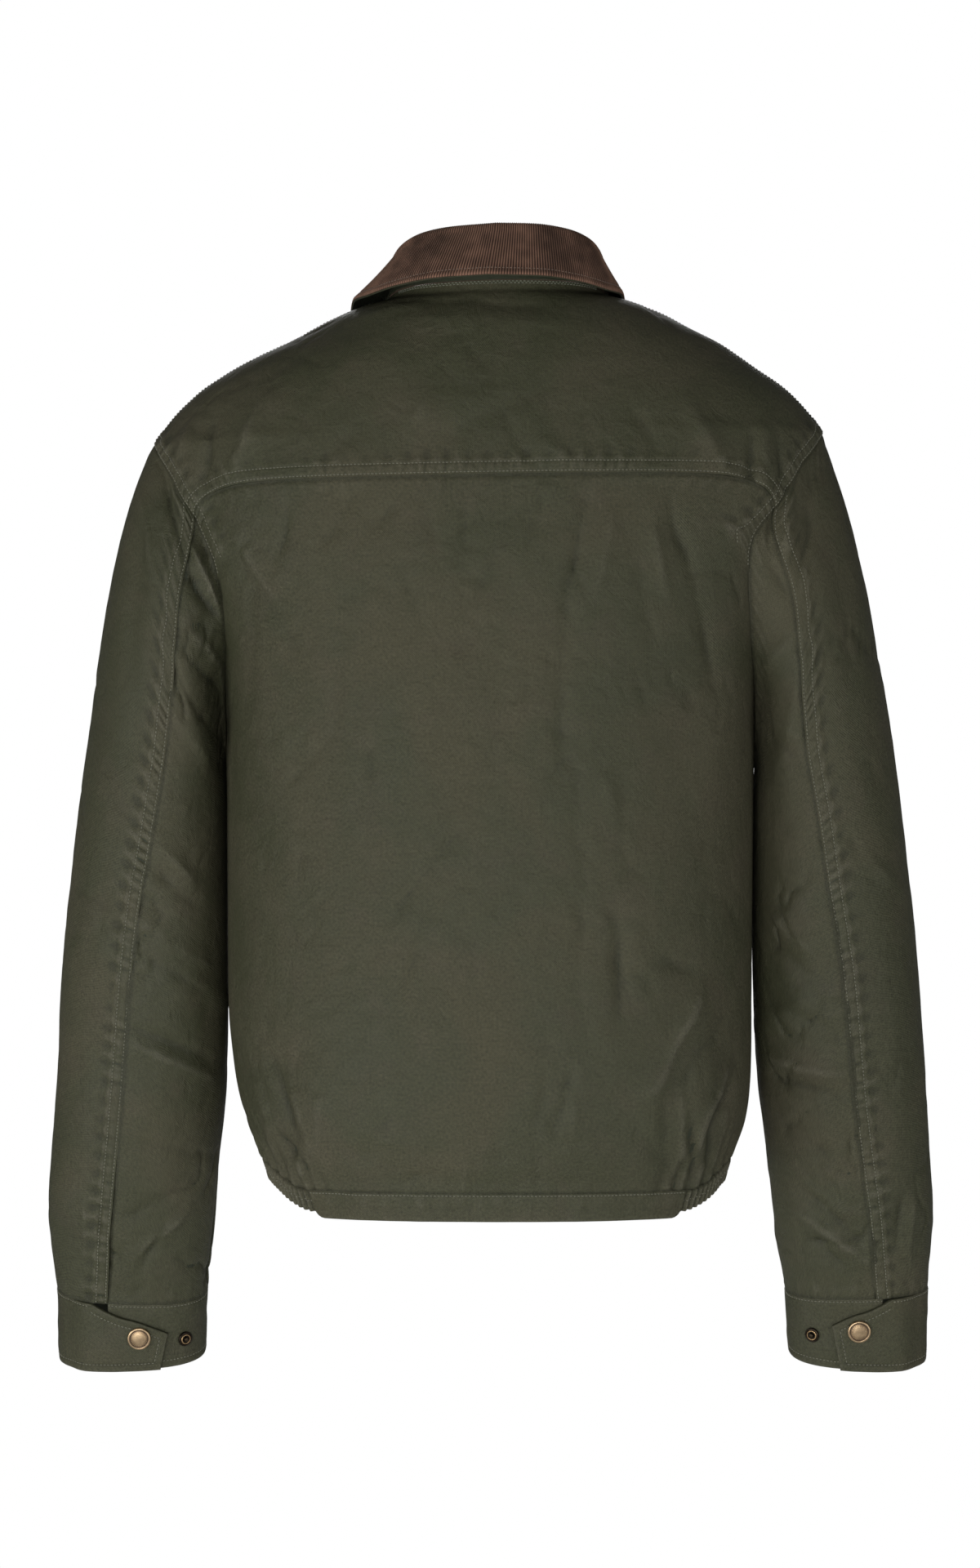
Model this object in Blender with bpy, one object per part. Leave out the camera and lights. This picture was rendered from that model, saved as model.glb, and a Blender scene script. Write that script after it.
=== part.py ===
"""Waxed cotton jacket with a corduroy collar, filled out as it is worn: hollow and open at neck, hem and cuffs.

Lengths are millimetres and are turned to metres as each mesh is made. +Z is up, the front faces -Y, and
+X is the wearer's left. The origin is the middle of the neck base, level with the shoulders.

Every panel is a closed wall. Its outer skin is a grid of points on one of two forms, the body or the sleeve.
Each form is a stack of superellipse sections read from a short table, with a few soft folds added. Panels
that share a seam take the same points along it, drawn back half a seam gap on each side.
"""

import math

import bmesh
import bpy
import numpy as np
from mathutils import Matrix

MM = 0.001
SIDES = {1: "left", -1: "right"}

# ---- cloth ----
CLOTH = 2.0
CUFF_WALL = 3.0
HALF_SEAM = 0.15
HALF_SLEEVE_SEAM = 0.25
HALF_HEM_SEAM = 0.3

# ---- body ----
HEM_SEAM_BACK = -632.5
HEM_SEAM_SIDE = -615.0
HEM_BAND = 20.5
ELASTIC_BAND = 16.5
SIDE_SEAM_ANGLE = math.radians(88.0)
FRONT_GAP = 6.0
YOKE_CENTRE = -131.0
UNDERARM_CENTRE = -318.0
FRONT_YOKE_LEVEL = -150.0
LEVEL_POWER = 4.0
HEM_RISE_FROM = 0.53
HEM_RISE_TO = 0.91

# ---- armhole: the turn runs from 0 at the shoulder point to half a circle at the underarm ----
SHOULDER_TIP = -97.5
ARMHOLE_DROP = 222.0
YOKE_SHARE = 0.3375

# ---- neck ----
NECK_HALF = 80.0
BACK_NECK_COLUMNS = 6
FRONT_NECK_COLUMNS = 5

# ---- elastic at the sides of the hem ----
ELASTIC_FROM = math.radians(50.0)
ELASTIC_TO = math.radians(130.0)
ELASTIC_WAVES = 25
ELASTIC_RISE = 1.9

# ---- sleeve and cuff ----
CAP_BLEND = 0.12
CUFF_TOP = 1.0
CUFF_FOOT = 1.08
TAB_LIFT = 3.6
TAB_RISE = (398.0, 424.0)
TAB_SLANT = {1: (426.0, 0.44), -1: (430.0, 0.37)}
TAB_END = {1: 475.0, -1: 468.0}
TAB_CUT = 6.5
CUFF_START = {1: 89.0, -1: 86.0}

# ---- grids ----
BACK_COLUMNS = 18
FRONT_COLUMNS = 11
SIDE_ROWS = 9
ARMHOLE_ROWS = 8
YOKE_ROWS = 5
SLEEVE_WAYS = (0, 0.025, 0.055, 0.09, 0.13, 0.18, 0.24, 0.30, 0.37, 0.43, 0.50, 0.56, 0.62, 0.68, 0.74, 0.80, 0.87,
               0.94, 1.0)
CUFF_COLUMNS = 40
CUFF_ROWS = 3


def table(names, *rows):
    """A short table's columns by name, in rising order of the first."""
    return dict(zip(names.split(), np.array(sorted(rows), float).T))


# Superellipse sections of the body, from hem to neck.
BODY = table(
    "height half_width back_depth front_depth squareness",
    (-652, 158, 118, 112, 2.5),
    (-640, 161, 120, 114, 2.5),
    (-628, 164.5, 123, 117, 2.5),
    (-615, 168.5, 129, 123, 2.5),
    (-606, 172, 132, 126, 2.5),
    (-589, 178.5, 137, 131, 2.5),
    (-571, 182.5, 140, 134, 2.5),
    (-553, 184.5, 142, 136, 2.5),
    (-510, 187, 144, 138, 2.5),
    (-420, 188, 145, 139, 2.5),
    (-330, 189, 144, 137, 2.5),
    (-260, 192, 141, 133, 2.5),
    (-220, 200, 138, 128, 2.45),
    (-190, 211, 135, 123, 2.4),
    (-160, 227, 131, 116, 2.3),
    (-131, 239, 127, 108, 2.2),
    (-101, 241.5, 120, 97, 2.15),
    (-92, 236.5, 118, 93, 2.1),
    (-78, 226, 114, 86, 2.1),
    (-64, 211.5, 109, 78, 2.1),
    (-50, 191.5, 104, 66, 2.1),
    (-36, 169, 98, 55, 2.1),
    (-22, 141, 91, 44, 2.1),
    (-8, 114, 81, 34, 2.1),
    (0, 92, 74, 27, 2.1),
    (3, 80, 70.5, 24, 2.1),
    (6, 77, 69, 21, 2.1),
    (12, 74, 67, 18, 2.1),
)

# Hem and neck stand a little towards the wearer's right, and the right shoulder is held a little higher:
# the side step of each level, and how much its right edge is lifted and its left one lowered.
STANCE = table(
    "height aside tip",
    (-655, -6, 0),
    (-640, -5.5, 0),
    (-600, -4, 0),
    (-553, -2, 0),
    (-500, 0, 0),
    (-330, 0, 0),
    (-160, 0.5, 3.4),
    (-121, 1.5, 4.2),
    (-98, 1.3, 4.4),
    (-71, 1.5, 4.5),
    (-57, 2.2, 4.6),
    (-43, 0.5, 4.6),
    (-29, -2.8, 4.6),
    (-8, -4.5, 4.6),
    (20, -6, 4.6),
)
STANCE_HALF = 240.0

# How far the armhole's seam lies behind and in front of the body's widest line, in degrees.
ARMHOLE = table(
    "share behind_left behind_right before",
    (0, 0, 0, 0),
    (0.125, 11.5, 12.5, 15),
    (0.25, 22.6, 25, 26),
    (0.33, 25.7, 30, 30),
    (0.4, 26, 34.5, 31),
    (0.5, 23, 29, 28),
    (0.6, 17, 21, 22),
    (0.75, 6, 8, 12),
    (1, -2, -2, -2),
)

# Height of the neck seam, by degrees round it from the centre back.
NECK = table(
    "round height",
    (0, 10),
    (45, 9.3),
    (60, 8),
    (80, 4.6),
    (90, 3),
    (100, 2),
    (110, -8),
    (135, -35),
    (158, -52),
    (180, -62),
)

# Left sleeve: outer and inner line seen from behind, and each section's depth, forward tilt and squareness.
SLEEVE = table(
    "way outer_x outer_z inner_x inner_z centre_y half_depth tilt squareness",
    (0, 242, -98, 189, -320, 0, 75, 0, 2.0),
    (0.06, 253, -126, 190.5, -328, -2, 76, 0, 2.1),
    (0.14, 267.5, -176, 190.8, -345, -4, 76, 0, 2.2),
    (0.25, 281.5, -245, 191, -372, -7, 75, 0, 2.3),
    (0.38, 293, -327, 191, -412, -9, 72, 1, 2.3),
    (0.50, 301.5, -400, 191, -455, -11, 68, 2, 2.3),
    (0.62, 309, -470, 191, -503, -15, 63, 5, 2.3),
    (0.74, 314.8, -545, 192.5, -565, -25, 57, 9, 2.3),
    (0.85, 320.2, -616, 198, -628, -40, 50, 13, 2.3),
    (0.92, 323, -660, 201.5, -668, -51, 45, 15, 2.3),
    (0.95, 321.5, -680, 203.5, -687, -56, 43, 15, 2.35),
    (1.0, 318.5, -715, 207.5, -718, -65, 38.5, 15, 2.5),
    (1.08, 318, -768, 209.5, -764, -77, 37.5, 15, 2.6),
)

# Turn of the sleeve's back seam round the section, in degrees from the outer line.
BACK_SEAM = table(
    "way left right",
    (0, 60.75, 60.75),
    (0.045, 77, 79),
    (0.1, 93, 97),
    (0.16, 97, 101),
    (0.24, 97, 101.5),
    (0.37, 93.5, 97),
    (0.48, 89.5, 93.5),
    (0.57, 87, 90.3),
    (0.82, 82.3, 85.7),
    (0.92, 80.5, 83.5),
    (1.0, 78, 81),
)

# The right forearm hangs a little wider of the body: growth of its outer and inner lines and of its tilt.
RIGHT_HANG = table(
    "way outer inner tilt",
    (0, 0, 0, 0),
    (0.04, -1.6, 0, 0),
    (0.2, -1.8, 0, 0),
    (0.5, 0, 0, 0),
    (0.75, 0.2, 3.6, 0),
    (0.92, 2.2, 7.6, -2),
    (1, 3.5, 9.5, -6),
    (1.08, 4.5, 10.5, 0),
)

# Collar, from centre back to front end: the fold's line and the leaf's outer edge.
COLLAR = table(
    "way fold_x fold_y fold_z edge_x edge_y edge_z",
    (0, 0, 64, 45, 0, 86, 12),
    (0.125, 28, 60, 44, 37, 82, 10.7),
    (0.25, 53, 47, 40.5, 67, 67, 7),
    (0.375, 66.5, 27, 34, 88, 42, 3),
    (0.5, 71, 3, 26, 96.5, 12, 3.2),
    (0.625, 67, -22, 15, 99.5, -24, -6),
    (0.75, 53, -47, 1, 98, -57, -40),
    (0.875, 34, -68, -18, 86, -87, -78),
    (1, 13, -83, -41, 62, -103, -100),
)
COLLAR_LIFT = 0.9
COLLAR_TURN = 4.5
FOLD_LEAN = 5.0
EDGE_LEAN = -1.5
COLLAR_TIP = 0.022
TOP_LAYER = (1.75, 0.15)
UNDER_LAYER = (-0.15, -1.15)

# Soft folds on the body, seen from behind: a line from one place to another, its half width and its rise.
BODY_FOLDS = (
    # from_x, from_z, to_x, to_z, half_width, rise
    (-148, -515, -146, -625, 15, 4.5),
    (-112, -560, -108, -632, 14, 1.6),
    (128, -575, 131, -628, 13, 3.2),
    (98, -560, 95, -632, 16, 1.5),
    (176, -235, 150, -330, 16, 2.5),
    (-176, -225, -152, -350, 16, 3.0),
    (-205, -118, -178, -150, 12, 3.0),
    (186, -118, 204, -165, 12, -2.5),
)

# Soft folds on each sleeve: turn in degrees and way, from one place to another, half widths, rise.
SLEEVE_FOLDS = (
    # side, from_turn, from_way, to_turn, to_way, turn_half, way_half, rise
    (1, 45, 0.05, 62, 0.20, 14, 0.05, -4.0),
    (1, 95, 0.07, 125, 0.16, 16, 0.05, 3.0),
    (1, 100, 0.58, 165, 0.62, 20, 0.022, 2.6),
    (1, 30, 0.88, 75, 0.92, 18, 0.020, 2.2),
    (-1, 50, 0.05, 60, 0.22, 14, 0.05, -3.0),
    (-1, 92, 0.08, 120, 0.18, 16, 0.05, 3.0),
    (-1, 100, 0.62, 165, 0.66, 20, 0.022, 2.4),
    (-1, 95, 0.89, 140, 0.91, 18, 0.020, 2.0),
    (1, -120, 0.56, -40, 0.60, 20, 0.022, 2.4),
    (-1, -125, 0.58, -45, 0.62, 20, 0.022, 2.4),
)

# ---- front zip ----
ZIP_TOP = -71.5
ZIP_FOOT = -641.0
TAPE_HALF = 16.0
TAPE_DEPTHS = (4.3, 5.2)
CHAIN_HALF = 3.0
CHAIN_DEPTHS = (0.6, 3.1)
ZIP_ROWS = 20
ZIP_BOX = (8.0, 10.0)
SLIDER_HEIGHT = -77.0
HINGE_OUT = 2.3
PULL_LENGTH = 28.0

# ---- snaps ----
CAP_PROFILE = ((8.5, 0), (8.5, 0.8), (7.9, 1.4), (6.4, 1.9), (3.6, 2.2), (0, 2.3))
STUD_PROFILE = ((5.5, 0), (5.5, 0.9), (4.7, 1.3), (3.6, 1.3), (3.1, 0.7), (1.8, 0.7), (1.7, 2.0), (1.1, 2.4), (0, 2.4))
SNAP_CORNERS = 20
SNAP_LIFT = 0.7
CAP_DOWN = {1: 0.48, -1: 0.43}
STUD_DOWN = {1: 0.58, -1: 0.54}
CAP_TURN = {1: 454.5, -1: 450.5}
STUD_TURN = {1: 132.5, -1: 127.0}


# ---- reading tables ----

def read(rows, name, at):
    """A column of a table at any place, by a cubic that never overshoots its rows."""
    places = next(iter(rows.values()))
    values = rows[name]
    widths = np.diff(places)
    rates = np.diff(values) / widths
    same_way = rates[1:] * rates[:-1] > 0
    before, after = 2 * widths[1:] + widths[:-1], widths[1:] + 2 * widths[:-1]
    slopes = np.concatenate([rates[:1], np.zeros(len(rates) - 1), rates[-1:]])
    mean = (before + after)[same_way] / (before[same_way] / rates[:-1][same_way] + after[same_way] / rates[1:][same_way])
    slopes[1:-1][same_way] = mean
    at = np.clip(at, places[0], places[-1])
    row = np.clip(np.searchsorted(places, at, side="right") - 1, 0, len(widths) - 1)
    part = (at - places[row]) / widths[row]
    rest = 1 - part
    return (
        values[row] * (1 + 2 * part) * rest**2
        + values[row + 1] * (3 - 2 * part) * part**2
        + widths[row] * (slopes[row] * part * rest**2 - slopes[row + 1] * rest * part**2)
    )


def signed_power(value, power):
    return np.sign(value) * np.abs(value) ** power


def ease(value):
    """0 to 1 with level ends."""
    value = np.clip(value, 0, 1)
    return value * value * (3 - 2 * value)


def unit(vectors):
    return vectors / np.maximum(np.linalg.norm(vectors, axis=-1, keepdims=True), 1e-9)


def joined(*parts):
    """Arrays or numbers of one shape, stacked as the coordinates of points."""
    return np.stack(np.broadcast_arrays(*parts), axis=-1).astype(float)


def fold(from_x, from_y, to_x, to_y, half_x, half_y, rise, x, y):
    """A soft ridge: its rise falls off as a bell across the line between two places, and past its ends."""
    line_x, line_y = (to_x - from_x) / half_x, (to_y - from_y) / half_y
    there_x, there_y = (x - from_x) / half_x, (y - from_y) / half_y
    along = np.clip((there_x * line_x + there_y * line_y) / (line_x**2 + line_y**2), 0, 1)
    square = (there_x - along * line_x) ** 2 + (there_y - along * line_y) ** 2
    return rise * np.exp(-1.2 * square) * (0.55 + 0.45 * np.sin(math.pi * along))


def normal_of(form, first, second, first_step, second_step):
    """Outward normal of a form of two parameters, from small steps to both sides."""
    along = form(first + first_step, second) - form(first - first_step, second)
    up = form(first, second + second_step) - form(first, second - second_step)
    return unit(np.cross(along, up))


# ---- the body's form ----

def section(angle, height):
    """Superellipse section at each height: angle 0 is the centre front, a quarter turn the wearer's left side."""
    across, along = np.sin(angle), np.cos(angle)
    depth = np.where(along > 0, read(BODY, "front_depth", height), read(BODY, "back_depth", height))
    power = 2 / read(BODY, "squareness", height)
    x = read(BODY, "half_width", height) * signed_power(across, power)
    return joined(x, -depth * signed_power(along, power), height)


def plain_body(angle, height):
    """The section as it stands: stepped aside, and tipped in proportion to the distance from the middle."""
    points = section(angle, height)
    tip = read(STANCE, "tip", height) * points[..., 0] / STANCE_HALF
    return points + joined(read(STANCE, "aside", height), 0, -tip)


def body(angle, height):
    """The body's skin with its folds, which lie on the back and fade out towards the sides."""
    points = plain_body(angle, height)
    out = normal_of(plain_body, angle, height, 1e-3, 0.5)
    rise = sum(
        fold(x0, z0, x1, z1, half, half * 1.6, high, points[..., 0], points[..., 2])
        for x0, z0, x1, z1, half, high in BODY_FOLDS
    )
    behind = ease((points[..., 1] - 5) / 50)
    return points + out * (rise * behind)[..., None]


def body_normal(angle, height):
    return normal_of(body, angle, height, 2e-3, 1.0)


def angle_at(x, height, behind):
    """The body angle whose place lies x to the side of the centre line."""
    power = read(BODY, "squareness", height) / 2
    share = np.clip(x / read(BODY, "half_width", height), 0, 1)
    angle = np.arcsin(share**power)
    return math.pi - angle if behind else angle


def armhole(turn, side):
    """Body angle and height of the armhole seam: the height follows a cosine from shoulder tip to underarm."""
    share = np.abs(turn) / math.pi
    behind = read(ARMHOLE, "behind_" + SIDES[side], share)
    aside = np.where((turn >= 0) | (share >= 1), behind, -read(ARMHOLE, "before", share))
    height = SHOULDER_TIP - ARMHOLE_DROP * (1 - np.cos(turn)) / 2
    return math.pi / 2 + np.radians(aside), height


def armhole_point(turn, side):
    angle, height = armhole(turn, side)
    return body(side * angle, height)


def armhole_seam(turn, side):
    """Points of an armhole seam, the direction its wall is thick in, and the way from body to sleeve.

    The thickness turns from the shoulder's own normal to straight down at the underarm, because body and
    sleeve hang side by side below it.
    """
    angle, height = armhole(turn, side)
    half = (1 + np.cos(turn)) / 2
    down = joined(0 * turn, 0.8 * np.sin(turn), -(1 - half))
    thick = unit(body_normal(side * angle, height) * half[..., None] + down)
    step = 1e-3
    along = unit(armhole_point(turn + step, side) - armhole_point(turn - step, side))
    return armhole_point(turn, side), thick, unit(np.cross(along, thick)) * side


def even_places(curve, count):
    """Places 0 to 1 that cut a curve into stretches of one length."""
    fine = np.linspace(0, 1, 241)
    lengths = np.linalg.norm(np.diff(curve(fine), axis=0), axis=1)
    reached = np.concatenate([[0], np.cumsum(lengths)])
    return np.interp(np.linspace(0, reached[-1], count + 1), reached, fine)


def level_rise(way, hem_share):
    """Share of a row's rise at a way from the centre: late and quick at the hem, by a power of it elsewhere."""
    late = ease((way - HEM_RISE_FROM) / (HEM_RISE_TO - HEM_RISE_FROM))
    return hem_share * late + (1 - hem_share) * way**LEVEL_POWER


def body_row(columns, centre_height, edge_angle, edge_height, behind, hem_share=0.0):
    """Angles and heights of one row of a half panel, from the centre to its edge."""

    def place(way):
        height = centre_height + (edge_height - centre_height) * level_rise(way, hem_share)
        centre = math.pi if behind else angle_at(FRONT_GAP, centre_height, False)
        return centre + (edge_angle - centre) * way, height

    return place(even_places(lambda way: section(*place(way)), columns))


def lower_rows(columns, behind, side):
    """Rows of a half panel from the hem seam to the level of the yoke, with the place each has on the armhole."""
    top = YOKE_CENTRE if behind else FRONT_YOKE_LEVEL
    rise = (UNDERARM_CENTRE - HEM_SEAM_BACK) / SIDE_ROWS
    rows = []
    for step in range(SIDE_ROWS):
        edge = HEM_SEAM_SIDE + (SHOULDER_TIP - ARMHOLE_DROP - HEM_SEAM_SIDE) * step / SIDE_ROWS
        hem_share = (1 - step / SIDE_ROWS) ** 2
        rows.append(body_row(columns, HEM_SEAM_BACK + rise * step, SIDE_SEAM_ANGLE, edge, behind, hem_share))
    turns = armhole_turns(behind)[: ARMHOLE_ROWS + 1]
    for step, turn in enumerate(turns):
        angle, height = armhole(turn, side)
        centre = UNDERARM_CENTRE + (top - UNDERARM_CENTRE) * step / ARMHOLE_ROWS
        rows.append(body_row(columns, centre, float(angle), float(height), behind))
    return tuple(np.array(part) for part in zip(*rows))


def armhole_turns(behind):
    """Turns of the armhole's seam points from the underarm to the shoulder tip, on one side of it."""
    yoke = YOKE_SHARE * math.pi
    low = np.linspace(math.pi, yoke, ARMHOLE_ROWS + 1)
    turns = np.concatenate([low, np.linspace(yoke, 0, YOKE_ROWS + 1)[1:]])
    return turns if behind else -turns


def neck_place(round_degrees):
    """Side distance and height of the neck seam, by degrees from the centre back."""
    return NECK_HALF * np.sin(np.radians(round_degrees)), read(NECK, "height", round_degrees)


def upper_rows(columns, behind, side):
    """Rows above the yoke's level: blended, as seen from behind, up to the neck seam and the shoulder line."""
    angle, height = (part[-1] for part in lower_rows(columns, behind, side))
    base = section(angle, height)[:, [0, 2]]
    neck_columns = BACK_NECK_COLUMNS if behind else FRONT_NECK_COLUMNS
    last = math.degrees(math.asin(FRONT_GAP / NECK_HALF))
    start = 0 if behind else 180 - last
    neck = joined(*neck_place(np.linspace(start, 90, neck_columns + 1)))

    def ridge(way):
        level = neck[-1, 1] + (SHOULDER_TIP - neck[-1, 1]) * way
        return joined(read(BODY, "half_width", level), level)

    shoulder = ridge(even_places(ridge, columns - neck_columns))
    top = np.concatenate([neck, shoulder[1:]])
    share = np.linspace(0, 1, columns + 1)[:, None]
    rows = []
    for step, turn in enumerate(armhole_turns(behind)[ARMHOLE_ROWS:]):
        way = 1 - (1 - step / YOKE_ROWS) ** 2
        row = base + (top - base) * way
        edge = section(*armhole(turn, side))[[0, 2]]
        row = row + share**3 * (edge - row[-1])
        rows.append((angle_at(row[:, 0], row[:, 1], behind), row[:, 1]))
    return tuple(np.array(part) for part in zip(*rows))


# ---- the sleeve's form ----

def sleeve(turn, way, side):
    """Skin of a sleeve: superellipse sections strung on its outer and inner lines, drawn in to the
    armhole over its first stretch. Turn 0 is the outer line, a quarter turn the back, half a turn the inner line.
    """
    wider = 0 if side > 0 else 1
    outer = joined(read(SLEEVE, "outer_x", way) + wider * read(RIGHT_HANG, "outer", way), 0, read(SLEEVE, "outer_z", way))
    inner = joined(read(SLEEVE, "inner_x", way) + wider * read(RIGHT_HANG, "inner", way), 0, read(SLEEVE, "inner_z", way))
    tilt = np.radians(read(SLEEVE, "tilt", way) + wider * read(RIGHT_HANG, "tilt", way))
    back = joined(0, np.cos(tilt), -np.sin(tilt)) * read(SLEEVE, "half_depth", way)[..., None]
    power = 2 / read(SLEEVE, "squareness", way)
    across, deep = signed_power(np.cos(turn), power), signed_power(np.sin(turn), power)
    middle = (outer + inner) / 2 + joined(0, read(SLEEVE, "centre_y", way), 0)
    ring = middle + across[..., None] * (outer - inner) / 2 + deep[..., None] * back
    degrees = np.degrees(turn)
    rise = sum(
        fold(t0, w0, t1, w1, turn_half, way_half, high, degrees, way)
        for which, t0, w0, t1, w1, turn_half, way_half, high in SLEEVE_FOLDS
        if which == side
    )
    outward = unit(ring - middle)
    ring = ring + outward * (rise * ease((1 - way) / 0.05))[..., None]
    kept = ease_out(way / CAP_BLEND)[..., None]
    start = armhole_point(np.clip(turn, -math.pi, math.pi), side)
    return start + (ring * np.array((side, 1.0, 1.0)) - start) * kept


def ease_out(value):
    """0 to 1, steep at first and level at the end."""
    return 1 - (1 - np.clip(value, 0, 1)) ** 2


def sleeve_normal(turn, way, side):
    """Outward normal of the sleeve."""

    def form(first, second):
        return sleeve(first, second, side)

    inside = np.clip(way, 0.004, CUFF_FOOT)
    return -side * normal_of(form, turn, inside, 2e-3, 2e-3)


def sleeve_turns(way, side):
    """Columns of the top sleeve and of the under sleeve, in turns round the section at one way down it."""
    seam = math.radians(float(read(BACK_SEAM, SIDES[side], way)))
    yoke = YOKE_SHARE * math.pi
    front = np.linspace(-math.pi, -yoke, ARMHOLE_ROWS + 1)
    crown = np.linspace(-yoke, 0, YOKE_ROWS + 1)
    rear = np.linspace(0, seam, YOKE_ROWS + 1)
    top = np.concatenate([front, crown[1:], rear[1:]])
    return top, np.linspace(seam, math.pi, ARMHOLE_ROWS + 1)


# ---- making meshes ----

def finish(name, colour, roughness, metallic=0.0):
    """A plain Principled material of its own for one sub-part."""
    made = bpy.data.materials.new(name)
    made.use_nodes = True
    shader = made.node_tree.nodes["Principled BSDF"]
    shader.inputs["Base Color"].default_value = (*colour, 1)
    shader.inputs["Roughness"].default_value = roughness
    shader.inputs["Metallic"].default_value = metallic
    made.diffuse_color = (*colour, 1)
    return made


def waxed_cloth(name):
    return finish(name + "_cloth", (0.040, 0.047, 0.026), 0.55)


def corduroy(name):
    return finish(name + "_corduroy", (0.060, 0.030, 0.018), 0.85)


def metal(name):
    return finish(name + "_metal", (0.42, 0.30, 0.14), 0.38, 1.0)


def placed(mesh, name, material):
    """An object with outward faces, smooth but for its sharp edges."""
    shape = bmesh.new()
    shape.from_mesh(mesh)
    bmesh.ops.recalc_face_normals(shape, faces=shape.faces)
    shape.to_mesh(mesh)
    shape.free()
    mesh.shade_smooth()
    mesh.set_sharp_from_angle(angle=math.radians(50))
    mesh.materials.append(material)
    made = bpy.data.objects.new(name, mesh)
    bpy.context.scene.collection.objects.link(made)
    return made


def wall(name, outer, out, layer, material):
    """A closed wall: the grid at two distances along its outward directions, and a rim round the border.

    Both skins are cut along the same diagonals, so that walls laid on each other keep their gap.
    """
    near, far = layer
    rows, columns = outer.shape[:2]
    count = rows * columns
    grid = np.arange(count).reshape(rows, columns)
    low, low_next, high, high_next = grid[:-1, :-1], grid[:-1, 1:], grid[1:, :-1], grid[1:, 1:]
    halves = [np.stack([low, low_next, high_next], -1), np.stack([low, high_next, high], -1)]
    skin = np.concatenate(halves).reshape(-1, 3)
    border = np.concatenate([grid[0, :-1], grid[:-1, -1], grid[-1, :0:-1], grid[:0:-1, 0]])
    after = np.roll(border, -1)
    rim = np.concatenate([
        np.stack([border, border + count, after + count], -1),
        np.stack([border, after + count, after], -1),
    ])
    faces = np.concatenate([skin, skin[:, ::-1] + count, rim])
    points = np.concatenate([(outer + out * near).reshape(-1, 3), (outer + out * far).reshape(-1, 3)])
    mesh = bpy.data.meshes.new(name)
    mesh.from_pydata((points * MM).tolist(), [], faces.tolist())
    return placed(mesh, name, material)


def drawn_back(points, *borders, by=HALF_SEAM):
    """A grid whose named borders are moved towards the line beside them, which opens the seam gaps."""
    points = points.copy()
    for border in borders:
        view = points if border in ("bottom", "top") else points.swapaxes(0, 1)
        edge, beside = (0, 1) if border in ("bottom", "left") else (-1, -2)
        view[edge] += unit(view[beside] - view[edge]) * by
    return points


# ---- body panels ----

def half_panel(rows, turns, side):
    """Points and outward directions of the half of a panel on one side. The last rows of its edge column
    follow the armhole seam at the given turns."""
    angle, height = rows
    points = drawn_back(body(side * angle, height), "right")
    out = body_normal(side * angle, height)
    seam, thick, gap = armhole_seam(turns, side)
    points[-len(turns):, -1] = seam - gap * HALF_SEAM
    out[-len(turns):, -1] = thick
    return points, out


def back_panel(name, rows_of, turns, hem):
    """A panel right across the back."""
    left, right = (half_panel(rows_of(BACK_COLUMNS, True, side), turns, side) for side in SIDES)
    points, out = (np.concatenate([one[:, ::-1], other[:, 1:]], axis=1) for one, other in zip(left, right))
    points = drawn_back(points, "top")
    points = drawn_back(points, "bottom", by=hem)
    wall(name, points, out, (0, -CLOTH), waxed_cloth(name))


def make_back():
    turns = armhole_turns(True)
    back_panel("back_body", lower_rows, turns[: ARMHOLE_ROWS + 1], HALF_HEM_SEAM)
    back_panel("back_yoke", upper_rows, turns[ARMHOLE_ROWS:], HALF_SEAM)


def make_fronts():
    for side, word in SIDES.items():
        lower, upper = (rows_of(FRONT_COLUMNS, False, side) for rows_of in (lower_rows, upper_rows))
        rows = [np.concatenate([low, high[1:]]) for low, high in zip(lower, upper)]
        points, out = half_panel(rows, armhole_turns(False), side)
        points = drawn_back(points, "top")
        points = drawn_back(points, "bottom", by=HALF_HEM_SEAM)
        wall("front_" + word, points, out, (0, -CLOTH), waxed_cloth("front_" + word))


# ---- hem band ----

def hem_seam_height(angle):
    """Height of the hem seam at an angle round the body, on the straight stretches of the panels' first rows."""
    front = [part[0] for part in lower_rows(FRONT_COLUMNS, False, 1)]
    back = [part[0, ::-1] for part in lower_rows(BACK_COLUMNS, True, 1)]
    places, heights = (np.concatenate(pair) for pair in zip(front, back))
    return np.interp(math.pi - np.abs(angle - math.pi), places, heights)


def hem_piece(name, from_angle, to_angle, columns, sign, waves=False):
    """A stretch of the hem band, level with the body's skin, with elastic gathers where it has waves."""

    def edge(way):
        angle = from_angle + (to_angle - from_angle) * way
        return section(angle, hem_seam_height(angle))

    angle = from_angle + (to_angle - from_angle) * even_places(edge, columns)
    drop = np.array((0, 0.34, 0.7, 1) if waves else (0, 1))[:, None]
    seam = hem_seam_height(angle)
    height = seam - (ELASTIC_BAND if waves else HEM_BAND) * drop
    angle = np.broadcast_to(angle, height.shape)
    points, out = body(sign * angle, height), body_normal(sign * angle, height)
    if waves:
        ridge = np.where(np.arange(columns + 1) % 2 == 1, ELASTIC_RISE, -ELASTIC_RISE * 0.3)
        ridge[[0, -1]] = 0
        points = points + out * (ridge * ease(drop / 0.5))[..., None]
    points = drawn_back(points, "left", "right")
    points = drawn_back(points, "bottom", by=HALF_HEM_SEAM)
    wall(name, points, out, (0, -CUFF_WALL), waxed_cloth(name))


def make_hem():
    hem_piece("hem_back", ELASTIC_TO, 2 * math.pi - ELASTIC_TO, 20, 1)
    for sign, side in SIDES.items():
        front = angle_at(FRONT_GAP, HEM_SEAM_BACK, False)
        hem_piece("hem_side_" + side, ELASTIC_FROM, ELASTIC_TO, 2 * ELASTIC_WAVES, sign, waves=True)
        hem_piece("hem_front_" + side, front, ELASTIC_FROM, 8, sign)


# ---- sleeves and cuffs ----

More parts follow.
